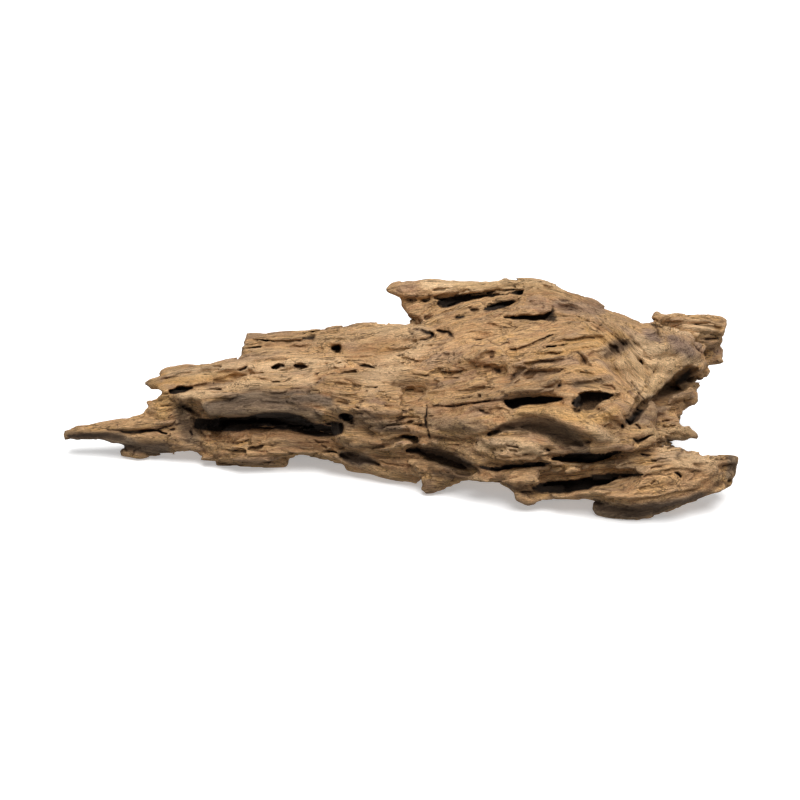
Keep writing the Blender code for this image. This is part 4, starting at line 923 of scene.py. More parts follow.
def catmull_rom(stations: np.ndarray, steps: int) -> np.ndarray:
    """Draws a smooth curve through stations.

    Args:
        stations: One station a row, with any number of values.
        steps: Points for each stretch between two stations.

    Returns:
        The points of the curve, one a row.
    """
    padded = np.vstack([2 * stations[0] - stations[1], stations, 2 * stations[-1] - stations[-2]])
    share = (np.arange(steps) / steps)[:, None]
    curve = []
    for before, start, end, after in zip(padded[:-3], padded[1:-2], padded[2:-1], padded[3:]):
        curve.append(0.5 * (
            2 * start
            + (end - before) * share
            + (2 * before - 5 * start + 4 * end - after) * share**2
            + (3 * start - before - 3 * end + after) * share**3
        ))
    curve.append(stations[-1:])
    return np.vstack(curve)


def softened(values: np.ndarray, axis: int, passes: int) -> np.ndarray:
    """Blurs an array along one axis.

    Args:
        values: The array.
        axis: The axis.
        passes: How many times each value is mixed with its two neighbours.

    Returns:
        The blurred array.
    """
    moved = np.moveaxis(values, axis, 0)
    for _ in range(passes):
        mixed = moved.copy()
        mixed[1:-1] = 0.5 * moved[1:-1] + 0.25 * (moved[:-2] + moved[2:])
        moved = mixed
    return np.moveaxis(moved, 0, axis)


@dataclass
class ReliefSheet:
    """How far the strokes push the surface away from the camera, and how much shade, and in places stain,
    they paint on it.
    """

    strokes: tuple
    tints: tuple
    fine: int = 2
    first_column: int = 50
    last_column: int = 750
    first_row: int = 265
    last_row: int = 535
    rag: float = 1.0
    rag_seeds: tuple = (5, 6)
    rag_waves: tuple = ((14.0, 7.0, 1.0), (6.0, 3.0, 0.7), (3.0, 1.6, 0.4))
    carved: np.ndarray = field(init=False)
    raised: np.ndarray = field(init=False)
    stain_and_shade_sheet: np.ndarray = field(init=False)
    cut: np.ndarray = field(init=False)
    tones: dict = field(init=False)

    def __post_init__(self) -> None:
        """Paints every stroke."""
        shape = (
            (self.last_row - self.first_row) * self.fine + 1,
            (self.last_column - self.first_column) * self.fine + 1,
        )
        self.carved = np.zeros(shape, np.float32)
        self.raised = np.zeros(shape, np.float32)
        self.stain_and_shade_sheet = np.zeros(shape, np.float32)
        self.cut = np.full(shape, -FAR_OUTSIDE, np.float32)
        rows, columns = np.mgrid[0:shape[0], 0:shape[1]].astype(np.float32)
        columns = columns / self.fine + self.first_column
        rows = rows / self.fine + self.first_row
        self._columns, self._rows = self._ragged(columns, rows)
        for stroke in self.strokes:
            self.paint(stroke)
        self.tones = {tone: np.zeros(shape, np.float32) for tone in Tone}
        for tint in self.tints:
            self.tint(tint)

    def _ragged(self, columns: np.ndarray, rows: np.ndarray) -> tuple:
        """Moves each point a little, so that the edges of the strokes are torn like fibres.

        Args:
            columns: Pixel columns.
            rows: Pixel rows.

        Returns:
            The moved columns and the moved rows.
        """
        moved = []
        flat = np.zeros(columns.size, np.float32)
        for seed, values in zip(self.rag_seeds, (columns, rows)):
            noise = NoiseTile(seed)
            shift = np.zeros(columns.size, np.float32)
            for length, height, share in self.rag_waves:
                places = np.stack([columns.ravel() / length, rows.ravel() / height, flat], axis=1)
                shift += share * noise.at(places)
            moved.append(values + self.rag * shift.reshape(columns.shape))
        return tuple(moved)

    def paint(self, stroke: Stroke) -> None:
        """Adds one stroke to the sheets.

        Args:
            stroke: The stroke.
        """
        curve = catmull_rom(np.array(stroke.stations, float), 8)
        share = {LEDGE: 2.0, TRENCH: 1.3}.get(stroke.profile, 1.0)
        span = self._span(curve, share)
        near = self._nearest(curve, self._columns[span], self._rows[span])
        if stroke.profile is CUT:
            self.cut[span] = np.maximum(self.cut[span], near[2] - near[0])
            return
        shape = stroke_shape(stroke.profile, *near)
        depth = shape * stroke.depth
        self.carved[span] = np.maximum(self.carved[span], depth)
        self.raised[span] += np.maximum(-depth, 0.0)
        # Painted shade along the stroke, in places a real stain of the wood.
        self.stain_and_shade_sheet[span] = np.maximum(self.stain_and_shade_sheet[span], np.abs(shape) * stroke.stain_and_shade)

    def tint(self, tint: Tint) -> None:
        """Adds one patch of colour, of painted light or of painted shade.

        Args:
            tint: The patch.
        """
        curve = catmull_rom(np.array(tint.stations, float), 6)
        span = self._span(curve, 1.4)
        distance, _, width, _ = self._nearest(curve, self._columns[span], self._rows[span])
        share = tint.strength * eased(1.4 - distance / width)
        sheet = self.tones[tint.tone]
        sheet[span] = np.maximum(sheet[span], share)

    def _span(self, curve: np.ndarray, share: float) -> tuple:
        """Finds the part of the sheets that a curve can reach.

        Args:
            curve: Column, row and half width of each point of the curve.
            share: How far it reaches, as a share of its half width.

        Returns:
            The cells, down and across.
        """
        margin = curve[:, 2].max() * share + 4 * self.rag
        left, top = curve[:, 0].min() - margin, curve[:, 1].min() - margin
        right, bottom = curve[:, 0].max() + margin, curve[:, 1].max() + margin
        return (
            slice(self._cell(top - self.first_row), self._cell(bottom - self.first_row) + 1),
            slice(self._cell(left - self.first_column), self._cell(right - self.first_column) + 1),
        )

    def _cell(self, distance: float) -> int:
        """Returns the cell that lies a distance in pixels from the sheet's edge."""
        return max(int(round(distance * self.fine)), 0)

    def _nearest(self, curve: np.ndarray, columns: np.ndarray, rows: np.ndarray) -> tuple:
        """Finds the nearest point of a curve.

        Args:
            curve: Column, row and half width of each point of the curve.
            columns: Pixel columns.
            rows: Pixel rows.

        Returns:
            Distance to the curve, the side of it, its half width there and the share of its length.
        """
        start, end = curve[:-1], curve[1:]
        best = np.full(columns.shape, np.inf, np.float32)
        side = np.ones(columns.shape, np.float32)
        width = np.ones(columns.shape, np.float32)
        along = np.zeros(columns.shape, np.float32)
        lengths = np.hypot(*(end - start)[:, :2].T)
        passed = np.concatenate([[0.0], np.cumsum(lengths)])
        for index, (one, two) in enumerate(zip(start, end)):
            run = two - one
            square = max(run[0] ** 2 + run[1] ** 2, 1e-6)
            offset_x, offset_y = columns - one[0], rows - one[1]
            share = np.clip((offset_x * run[0] + offset_y * run[1]) / square, 0.0, 1.0)
            gap = np.hypot(offset_x - share * run[0], offset_y - share * run[1])
            closer = gap < best
            best = np.where(closer, gap, best)
            side = np.where(closer, np.sign(run[0] * offset_y - run[1] * offset_x), side)
            width = np.where(closer, one[2] + share * run[2], width)
            along = np.where(closer, (passed[index] + share * lengths[index]) / passed[-1], along)
        return best, side, width, along

    def read(self, sheet: np.ndarray, columns: np.ndarray, rows: np.ndarray) -> np.ndarray:
        """Reads a sheet at points of the picture.

        Args:
            sheet: One of the painted sheets.
            columns: Pixel columns.
            rows: Pixel rows.

        Returns:
            One value for each point, and 0 outside the sheet.
        """
        across = (columns - self.first_column) * self.fine
        down = (rows - self.first_row) * self.fine
        inside = (across > 0) & (down > 0) & (across < sheet.shape[1] - 1) & (down < sheet.shape[0] - 1)
        return bilinear(sheet, across, down) * inside


def stroke_shape(
    profile: Profile, distance: np.ndarray, side: np.ndarray, width: np.ndarray, along: np.ndarray
) -> np.ndarray:
    """Works out the section of a stroke.

    Args:
        profile: The kind of section.
        distance: Distance to the stroke's line, in pixels.
        side: Positive on the right-hand side of the line.
        width: Half width of the stroke there, in pixels.
        along: Share of the stroke's length, from 0 to 1.

    Returns:
        Depth as a share of the stroke's depth; raised wood is below zero.
    """
    out = distance / np.maximum(width, 0.3)
    ends = eased(np.minimum(along, 1.0 - along) / 0.12)
    if profile is GOUGE:
        return np.maximum(1.0 - out**2, 0.0)
    if profile is TRENCH:
        return eased((1.25 - out) / 0.4)
    if profile is RIDGE:
        return -np.sqrt(np.maximum(1.0 - out**2, 0.0)) * ends
    drop = np.maximum(1.0 - out / 2.0, 0.0) * eased(distance / 1.2) * (side > 0)
    lip = 0.35 * np.maximum(1.0 - out, 0.0) * (side <= 0)
    return (drop - lip) * ends


@dataclass
class WoodField:
    """Distance to the skin of the wood on a regular grid, in millimetres: below zero inside."""

    values: np.ndarray
    first: np.ndarray
    voxel: float
    reach: float
    wall_left: float = 5.0
    least_push: float = 1.2
    push_past: float = 3.0
    push_fade: float = 5.0
    push_before: float = 12.0

    @classmethod
    def from_node(cls, node: bpy.types.Object, voxel: float, band: int, margin: int = 8) -> "WoodField":
        """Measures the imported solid.

        Args:
            node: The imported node.
            voxel: Size of a cell, in millimetres.
            band: How many cells on each side of the skin hold a true distance.
            margin: Empty cells round the solid.

        Returns:
            The distance field of the solid.
        """
        mesh = node.data
        mesh.calc_loop_triangles()
        places = mesh_points(mesh)
        corners = np.empty(len(mesh.loop_triangles) * 3, np.int32)
        mesh.loop_triangles.foreach_get("vertices", corners)
        grid = openvdb.FloatGrid.createLevelSetFromPolygons(
            places,
            triangles=corners.reshape(-1, 3).astype(np.uint32),
            transform=openvdb.createLinearTransform(voxel),
            halfWidth=float(band),
        )
        first = np.floor(places.min(0) / voxel).astype(int) - margin
        last = np.ceil(places.max(0) / voxel).astype(int) + margin
        values = np.zeros(tuple(last - first + 1), np.float32)
        grid.copyToArray(values, ijk=tuple(int(index) for index in first))
        return cls(values, first, voxel, band * voxel)

    def places(self, cells: np.ndarray) -> np.ndarray:
        """Returns the places of flat cell numbers, in millimetres."""
        index = np.stack(np.unravel_index(cells, self.values.shape), axis=1)
        return ((index + self.first) * self.voxel).astype(np.float32)

    def read(self, points: np.ndarray) -> np.ndarray:
        """Returns the distance at points in millimetres."""
        return trilinear(self.values, points / self.voxel - self.first.astype(np.float32))

    def soften(self, passes: int, swell: float) -> None:
        """Rounds the facets of the solid.

        Args:
            passes: How many times each cell is mixed with its neighbours along each axis.
            swell: How far the skin then moves out again, in millimetres.
        """
        for axis in range(3):
            self.values = softened(self.values, axis, passes)
        self.values = np.ascontiguousarray(self.values) - swell

    def push_along_view(self, view: PictureView, depths: "DepthSheet", sheet: ReliefSheet) -> None:
        """Moves the seen skin along the line of sight, by what the strokes ask.

        Args:
            view: The camera of the picture.
            depths: How far the skin is from the eye.
            sheet: The painted strokes.
        """
        flat = self.values.ravel()
        chosen = np.flatnonzero(flat < self.reach - 1.0)
        result = flat.copy()

        def push(cells: np.ndarray) -> None:
            """Works out the pushed distances of one part of the cells.

            Args:
                cells: Flat cell numbers.
            """
            points = self.places(cells)
            columns, rows, distance, ray = view.project(points)
            behind = distance - depths.at(columns, rows)
            room = np.maximum(depths.thickness_at(columns, rows) - self.wall_left, self.least_push)
            carved = np.minimum(sheet.read(sheet.carved, columns, rows), room)
            raised = sheet.read(sheet.raised, columns, rows)
            for amount, sign in ((carved, 1.0), (raised, -1.0)):
                reach = amount + self.push_past
                near = (behind < reach + self.push_fade) & (behind > -self.push_before)
                used = np.flatnonzero((amount > 0.05) & near)
                fade = 1.0 - eased((behind[used] - reach[used]) / self.push_fade)
                shift = (amount[used] * fade * sign)[:, None]
                moved = self.read(points[used] - shift * ray[used])
                if sign > 0:
                    result[cells[used]] = np.maximum(result[cells[used]], moved)
                else:
                    result[cells[used]] = np.minimum(result[cells[used]], moved)

        in_parts(chosen, push)
        self.values = result.reshape(self.values.shape)

    def grow(self, view: PictureView, growth: Growth, blend: float = 1.6) -> None:
        """Joins a rounded strand to the wood.

        Args:
            view: The camera of the picture.
            growth: The strand.
            blend: How softly the two meet, in millimetres.
        """
        curve = catmull_rom(growth.places(view), 4)
        widest = curve[:, 3].max() + 4 * blend
        low = np.floor((curve[:, :3].min(0) - widest) / self.voxel).astype(int) - self.first
        high = np.ceil((curve[:, :3].max(0) + widest) / self.voxel).astype(int) - self.first + 1
        low = np.maximum(low, 0)
        high = np.minimum(high, self.values.shape)
        axes = [(np.arange(low[axis], high[axis]) + self.first[axis]) * self.voxel for axis in range(3)]
        grid = np.stack(np.meshgrid(*axes, indexing="ij"), axis=-1).astype(np.float32)
        nearest = np.full(grid.shape[:3], self.reach, np.float32)
        for start, end in zip(curve[:-1], curve[1:]):
            run = (end - start)[:3]
            offset = grid - start[:3].astype(np.float32)
            share = np.clip(offset @ run.astype(np.float32) / max(float(run @ run), 1e-6), 0.0, 1.0)
            gap = np.linalg.norm(offset - share[..., None] * run, axis=-1)
            nearest = np.minimum(nearest, gap - (start[3] + share * (end[3] - start[3])))
        span = tuple(slice(one, two) for one, two in zip(low, high))
        if growth.bite:
            self.values[span] = np.maximum(self.values[span], -nearest)
            return
        mixed = np.maximum(blend - np.abs(self.values[span] - nearest), 0.0) / blend
        self.values[span] = np.minimum(self.values[span], nearest) - mixed**2 * blend * 0.25

    def trim(self, view: PictureView, sheet: ReliefSheet, deepest: float = 3.0) -> None:
        """Takes away the wood that stands outside the outline.

        Args:
            view: The camera of the picture.
            sheet: The painted strokes.
            deepest: How far outside the wood the outline still matters, in millimetres.
        """
        flat = self.values.reshape(-1)
        chosen = np.flatnonzero(flat < deepest)

        def outside(cells: np.ndarray) -> np.ndarray:
            """Returns how far each of the cells is inside a cut, in pixels."""
            columns, rows, _, _ = view.project(self.places(cells))
            return sheet.read(sheet.cut + FAR_OUTSIDE, columns, rows) - FAR_OUTSIDE

        scale = view.width / MM / view.side
        flat[chosen] = np.maximum(flat[chosen], np.concatenate(in_parts(chosen, outside)) * scale)

    def bulk(self, step: int, passes: int) -> "WoodField":
        """Measures how much wood is near: a half at a broad face, less on thin parts.

        Args:
            step: Size of a cell of the measure, in cells of this field.
            passes: How many times each of them is mixed with its neighbours along each axis.

        Returns:
            The measure, as a field that is read in the same way.
        """
        filled = np.clip(0.5 - self.values[::step, ::step, ::step] / (2 * self.voxel), 0.0, 1.0)
        for axis in range(3):
            filled = softened(filled.astype(np.float32), axis, passes)
        return WoodField(np.ascontiguousarray(filled), self.first / step, self.voxel * step, self.reach)

    def add(self, band: float, relief: "Relief") -> None:
        """Lowers or lifts the skin by a relief, where it is near enough.

        Args:
            band: How far from the skin the relief is worked out, in millimetres.
            relief: What gives the depth at each point.
        """
        flat = self.values.reshape(-1)
        chosen = np.flatnonzero(np.abs(flat) < band)
        flat[chosen] += np.concatenate(in_parts(chosen, lambda cells: relief.depth(self.places(cells))))

    def keep_inside(self, low: Vector, high: Vector, spare: float) -> None:
        """Trims the wood to the floor and to the box of the solid.

        Args:
            low: Lowest corner of the box, in metres.
            high: Highest corner of the box, in metres.
            spare: How far the wood may stand out of the box, in millimetres; never below the floor.
        """
        for axis in range(3):
            line = (np.arange(self.values.shape[axis]) + self.first[axis]) * self.voxel
            room = 0.0 if axis == 2 else spare
            outside = np.maximum(low[axis] / MM - room - line, line - high[axis] / MM - spare)
            shape = [1, 1, 1]
            shape[axis] = -1
            self.values = np.maximum(self.values, outside.reshape(shape).astype(np.float32))

    def polygons(self) -> tuple:
        """Lays a skin of four-sided faces over the wood.

        Returns:
            Its points in millimetres and its faces, largest piece only.
        """
        grid = openvdb.FloatGrid(self.reach)
        grid.copyFromArray(self.values, ijk=tuple(int(index) for index in self.first), tolerance=0.0)
        grid.transform = openvdb.createLinearTransform(self.voxel)
        points, _, quads = grid.convertToPolygons(isovalue=0.0, adaptivity=0.0)
        return largest_piece(np.array(points), quads.astype(np.int64))


def largest_piece(points: np.ndarray, faces: np.ndarray) -> tuple:
    """Keeps the faces that hang together with most of the rest.

    Args:
        points: Points, one a row.
        faces: Point numbers, one face a row.

    Returns:
        The points and faces of the largest piece.
    """
    label = np.arange(len(points))
    ends = np.stack([faces, np.roll(faces, -1, axis=1)], axis=2).reshape(-1, 2)
    while True:
        lower = np.minimum(label[ends[:, 0]], label[ends[:, 1]])
        fresh = label.copy()
        np.minimum.at(fresh, ends[:, 0], lower)
        np.minimum.at(fresh, ends[:, 1], lower)
        fresh = fresh[fresh]
        fresh = fresh[fresh]
        if np.array_equal(fresh, label):
            break
        label = fresh
    names, counts = np.unique(label, return_counts=True)
    kept = label == names[np.argmax(counts)]
    LOG.info("skin: %d pieces, %d of %d points kept", len(names), kept.sum(), len(points))
    number = np.cumsum(kept) - 1
    return points[kept], number[faces[kept[faces[:, 0]]]]


@dataclass
class DepthSheet:
    """How far the skin of the solid is from the eye, over the picture."""

    view: PictureView
    node: bpy.types.Object
    first_column: int = 40
    last_column: int = 760
    first_row: int = 255
    last_row: int = 545
    step: int = 2
    skin: float = 0.0003
    sheet: np.ndarray = field(init=False)
    thickness: np.ndarray = field(init=False)

    def __post_init__(self) -> None:
        """Looks at the solid through every second pixel, and fills the places that miss it."""
        mesh = self.node.data
        places = [vertex.co.copy() for vertex in mesh.vertices]
        tree = BVHTree.FromPolygons(places, [tuple(face.vertices) for face in mesh.polygons])
        eye = self.view.eye
        columns = range(self.first_column, self.last_column + 1, self.step)
        rows = range(self.first_row, self.last_row + 1, self.step)
        self.sheet = np.full((len(rows), len(columns)), np.nan, np.float32)
        self.thickness = np.full((len(rows), len(columns)), np.nan, np.float32)
        for down, row in enumerate(rows):
            for across, column in enumerate(columns):
                ray = self.view.ray(column, row)
                place, _, _, distance = tree.ray_cast(eye, ray)
                if place is None:
                    continue
                self.sheet[down, across] = distance / MM
                way_out = tree.ray_cast(place + ray * self.skin, ray)[3]
                self.thickness[down, across] = (way_out or 0.0) / MM
        self.sheet = filled_in(self.sheet)
        self.thickness = least_nearby(filled_in(self.thickness), 2)

    def at(self, columns: np.ndarray, rows: np.ndarray) -> np.ndarray:
        """Returns the distance of the skin at points of the picture, in millimetres."""
        return self._read(self.sheet, columns, rows)

    def thickness_at(self, columns: np.ndarray, rows: np.ndarray) -> np.ndarray:
        """Returns how thick the wood is along the line of sight, in millimetres."""
        return self._read(self.thickness, columns, rows)

    def _read(self, sheet: np.ndarray, columns: np.ndarray, rows: np.ndarray) -> np.ndarray:
        """Reads one of the two sheets at points of the picture."""
        across = (columns - self.first_column) / self.step
        return bilinear(sheet, across, (rows - self.first_row) / self.step)


def filled_in(sheet: np.ndarray) -> np.ndarray:
    """Spreads the known values of a sheet over the empty cells round them.

    Args:
        sheet: The sheet, with no number in its empty cells.

    Returns:
        The sheet with every cell filled.
    """
    sheet = sheet.copy()
    for _ in range(max(sheet.shape)):
        empty = np.isnan(sheet)
        if not empty.any():
            break
        padded = np.pad(sheet, 1, constant_values=np.nan)
        neighbours = np.stack([padded[:-2, 1:-1], padded[2:, 1:-1], padded[1:-1, :-2], padded[1:-1, 2:]])
        known = ~np.isnan(neighbours)
        total = np.where(known, neighbours, 0.0).sum(0)
        count = known.sum(0)
        fill = empty & (count > 0)
        sheet[fill] = total[fill] / count[fill]
    return sheet


def least_nearby(sheet: np.ndarray, reach: int) -> np.ndarray:
    """Lowers each cell of a sheet to the least value near it.

    Args:
        sheet: The sheet.
        reach: How many cells away a value still counts.

    Returns:
        The lowered sheet.
    """
    for _ in range(reach):
        padded = np.pad(sheet, 1, mode="edge")
        around = [padded[:-2, 1:-1], padded[2:, 1:-1], padded[1:-1, :-2], padded[1:-1, 2:], sheet]
        sheet = np.min(around, axis=0)
    return sheet


@dataclass
class Relief:
    """Wear that follows the grain: broken plates, crevices, flutes and pits."""

    view: PictureView
    grain: GrainMap
    bulk: WoodField
    sheet: ReliefSheet
    bend: float = 5.0
    bend_cells: tuple = (70.0, 28.0, 28.0)
    near_bend_cells: tuple = (24.0, 9.0, 9.0)
    near_bend_share: float = 0.35
    plate_cells: tuple = (60.0, 13.0, 13.0)
    plate_depth: float = 2.6
    plate_levels: float = 2.6
    plate_edge: float = 0.3
    plate_chips: tuple = ((0.45, 0.42), (0.16, 0.13))
    crevice_cells: tuple = (42.0, 5.5, 5.5)
    crevice_depth: float = 1.9
    crevice_width: float = 0.1
    valley_width: float = 0.34
    valley_share: float = 0.4
    flute_cells: tuple = (24.0, 2.6, 2.6)
    flute_depth: float = 0.55
    pit_cells: tuple = (11.0, 4.6, 4.6)
    pit_depth: float = 6.0
    pit_level: float = 0.37
    flake_length: float = 15.0
    flake_cells: tuple = (55.0, 3.6, 3.6)
    flake_depth: float = 1.1
    flake_patch: tuple = (50.0, 16.0, 16.0)
    scale_cells: tuple = (8.5, 3.6, 3.6)
    scale_depth: float = 1.5
    scale_patch: tuple = (32.0, 13.0, 13.0)
    thin_bulk: float = 0.2
    bulk_rise: float = 0.22
    calm: float = 0.8
    seed: int = 31

    def __post_init__(self) -> None:
        """Makes one noise tile for each kind of wear."""
        names = (
            "bend_across", "bend_inward", "plate", "plate_edge", "crevice",
            "flute", "pit", "place", "flake", "scale",
        )
        self.noise = {name: NoiseTile(self.seed + index) for index, name in enumerate(names)}

    def wave(self, name: str, grain: np.ndarray, cells: tuple, share: float = 1.0) -> np.ndarray:
        """Returns one noise tile, read in cells of a length, width and depth in millimetres."""
        return self.noise[name].at(grain / (np.array(cells, np.float32) * share))

    def bent(self, points: np.ndarray) -> np.ndarray:
        """Finds grain coordinates in which the fibres wander a little.

        Args:
            points: Points in millimetres, one a row.

        Returns:
            Three coordinates in millimetres for each point.
        """
        grain = self.grain.coordinates(self.view, points)
        straight = grain.copy()
        for axis, name in ((1, "bend_across"), (2, "bend_inward")):
            shift = self.wave(name, straight, self.bend_cells)
            shift += self.near_bend_share * self.wave(name, straight, self.near_bend_cells)
            grain[:, axis] += self.bend * shift
        return grain

    def depth(self, points: np.ndarray) -> np.ndarray:
        """Works out how far the wear goes in.

        Args:
            points: Points in millimetres, one a row.

        Returns:
            Depths in millimetres; below zero the wood stands out.
        """
        grain = self.bent(points)
        total = self.plates(grain)
        total += self.crevices(grain)
        total += self.pits(grain)
        total += self.flakes(grain)
        total += self.scales(grain)
        total *= eased((self.bulk.read(points) - self.thin_bulk) / self.bulk_rise)
        columns, rows, _, _ = self.view.project(points)
        total *= 1.0 - self.calm * self.sheet.read(self.sheet.tones[WORN], columns, rows)
        total += self.flute_depth * self.wave("flute", grain, self.flute_cells)
        return total

    def flakes(self, grain: np.ndarray) -> np.ndarray:
        """Returns the depth of short overlapping slivers with broken ends."""
        phase = grain[:, 0] / self.flake_length + 2.2 * self.wave("flake", grain, self.flake_cells)
        place = eased(0.5 + 1.3 * self.wave("place", grain, self.flake_patch))
        return self.flake_depth * place * (phase - np.floor(phase))

    def scales(self, grain: np.ndarray) -> np.ndarray:
        """Returns the depth of small scallops with a sharp upper edge."""
        height = self.wave("scale", grain, self.scale_cells)
        place = eased(0.55 + 1.6 * self.wave("place", grain, self.scale_patch))
        edge = eased((height - 0.02) / 0.16)
        return self.scale_depth * place * edge * (1.0 - 0.9 * np.clip(height, 0.0, 0.8))

    def plates(self, grain: np.ndarray) -> np.ndarray:
        """Works out the layers that broke off with sharp, torn edges.

        Args:
            grain: Grain coordinates in millimetres, one a row.

        Returns:
            Depths in millimetres.
        """
        height = self.wave("plate", grain, self.plate_cells)
        for share, size in self.plate_chips:
            height += share * self.wave("plate_edge", grain, self.plate_cells, size)
        level = height * self.plate_levels
        floor = np.floor(level)
        stair = floor + eased((level - floor) / self.plate_edge)
        return (0.7 * stair + 0.3 * level) * (self.plate_depth / self.plate_levels)

    def crevices(self, grain: np.ndarray) -> np.ndarray:
        """Works out the thin dark lines between the strands.

        Args:
            grain: Grain coordinates in millimetres, one a row.

        Returns:
            Depths in millimetres.
        """
        across = np.abs(self.wave("crevice", grain, self.crevice_cells))
        place = eased(0.5 + 1.4 * self.wave("place", grain, self.crevice_cells, 1.7))
        line = np.exp(-((across / self.crevice_width) ** 2))
        line += self.valley_share * np.exp(-((across / self.valley_width) ** 2))
        return self.crevice_depth * place * line

    def pits(self, grain: np.ndarray) -> np.ndarray:
        """Returns the depth of small holes."""
        hole = self.wave("pit", grain, self.pit_cells)
        place = eased(0.4 + 1.2 * self.wave("place", grain, self.pit_cells, 5.0))
        return self.pit_depth * place * np.maximum(hole - self.pit_level, 0.0)


@dataclass(frozen=True)
class WoodFinish:
    """Weathered, dry wood: tan crests with a painted highlight, brown flanks, grey bloom with painted
    shade, painted light on pale faces, and near-black hollows of painted shade with some dirt.
    """

    tan: tuple = (0.60, 0.358, 0.166, 1.0)
    brown: tuple = (0.365, 0.199, 0.093, 1.0)
    gold: tuple = (0.64, 0.365, 0.128, 1.0)
    # Grey bloom of the wood, and the colour of the painted shade that the grey tints lay.
    grey: tuple = (0.135, 0.100, 0.073, 1.0)
    purple: tuple = (0.235, 0.160, 0.135, 1.0)
    red: tuple = (0.35, 0.155, 0.065, 1.0)
    # Colour of the painted light on faces that catch the light.
    pale: tuple = (0.80, 0.55, 0.315, 1.0)
    # Umber and dark paint the shade in hollows and along the strokes; umber also darkens the real seams.
    umber: tuple = (0.095, 0.054, 0.031, 1.0)
    # Painted highlight on crests.
    crest_highlight_colour: tuple = (0.66, 0.46, 0.28, 1.0)
    dark: tuple = (0.016, 0.011, 0.008, 1.0)
    roughness: float = 0.85
    specular: float = 0.2
    bump: float = 0.0011
    seam_bump: float = -0.8

    def material(self) -> bpy.types.Material:
        """Builds the node material.

        Returns:
            The material, ready to be given to the wood.
        """
        material = bpy.data.materials.new(SLOT)
        material.use_nodes = True
        bench = NodeBench(material.node_tree)
        shader = bench.tree.nodes["Principled BSDF"]
        shader.inputs["Roughness"].default_value = self.roughness
        shader.inputs["Specular IOR Level"].default_value = self.specular
        grain = bench.attribute("grain", "Vector")
        streak = bench.noise(grain, (0.05, 0.5, 0.5), 4.0, 0.62)
        fibre = bench.noise(grain, (0.1, 1.9, 1.9), 3.0, 0.7)
        seams = bench.noise(grain, (0.03, 0.26, 0.26), 3.0, 0.55)
        grit = bench.noise(grain, (0.8, 1.5, 1.5), 2.0, 0.65)
        patch = bench.noise(grain, (0.025, 0.06, 0.06), 3.0, 0.55)
        blush = bench.noise(grain, (0.06, 0.14, 0.14), 3.0, 0.6)
        base = bench.mix(bench.ramp(streak, 0.3, 0.6), self.brown, self.tan)
        base = bench.mix(bench.ramp(blush, 0.52, 0.66), base, self.gold, 0.45)
        base = bench.mix(bench.ramp(blush, 0.49, 0.36), base, self.red, 0.42)
        base = bench.mix(bench.ramp(patch, 0.49, 0.36), base, self.purple, 0.4)
        base = bench.mix(bench.ramp(patch, 0.52, 0.72), base, self.grey, 0.4)
        # Pale tints paint light and grey tints paint shade mixed with grey bloom; gold, red and purple are
        # colours of the wood.
        tones = ((PALE, self.pale, 0.85), (GOLD, self.gold, 0.6), (RED, self.red, 0.6),
                 (PURPLE, self.purple, 0.75), (GREY, self.grey, 0.88))
        for tone, colour, most in tones:
            base = bench.mix(bench.attribute(tone.value, "Fac"), base, colour, most)
        # Painted highlight on crests.
        base = bench.mix(bench.attribute("crest", "Fac"), base, self.crest_highlight_colour, 0.4)
        base = bench.shade(bench.ramp(fibre, 0.3, 0.66), base, 0.6, 1.28)
        base = bench.shade(bench.ramp(grit, 0.3, 0.7), base, 0.82, 1.16)
        seam = bench.math("MULTIPLY", bench.line(seams, 0.5, 0.03), bench.ramp(blush, 0.44, 0.56))
        base = bench.mix(seam, base, self.umber, 0.7)
        # Painted shade in broad valleys, a little lighter on open faces.
        base = bench.shade(bench.attribute("painted_valley_shade", "Fac"), base, 1.08, 0.5)
        # Painted shade in hollows, with some dirt, and the strokes' painted shade and stain.
        for name, least, full in (("hollow", 0.12, 0.85), ("stain_and_shade", 0.05, 1.0)):
            amount = bench.ramp(bench.attribute(name, "Fac"), least, full)
            base = bench.mix(amount, base, self.umber, 0.85)
            base = bench.mix(bench.math("POWER", amount, 4.0), base, self.dark, 0.95)
        bench.link(base, shader.inputs["Base Color"])
        bump = bench.tree.nodes.new("ShaderNodeBump")
        bump.inputs["Strength"].default_value = 1.0
        bump.inputs["Distance"].default_value = self.bump
        rough = bench.math("ADD", fibre, grit)
        height = bench.math("ADD", rough, bench.math("MULTIPLY", seam, self.seam_bump))
        bench.link(height, bump.inputs["Height"])
        bench.link(bump.outputs["Normal"], shader.inputs["Normal"])
        return material


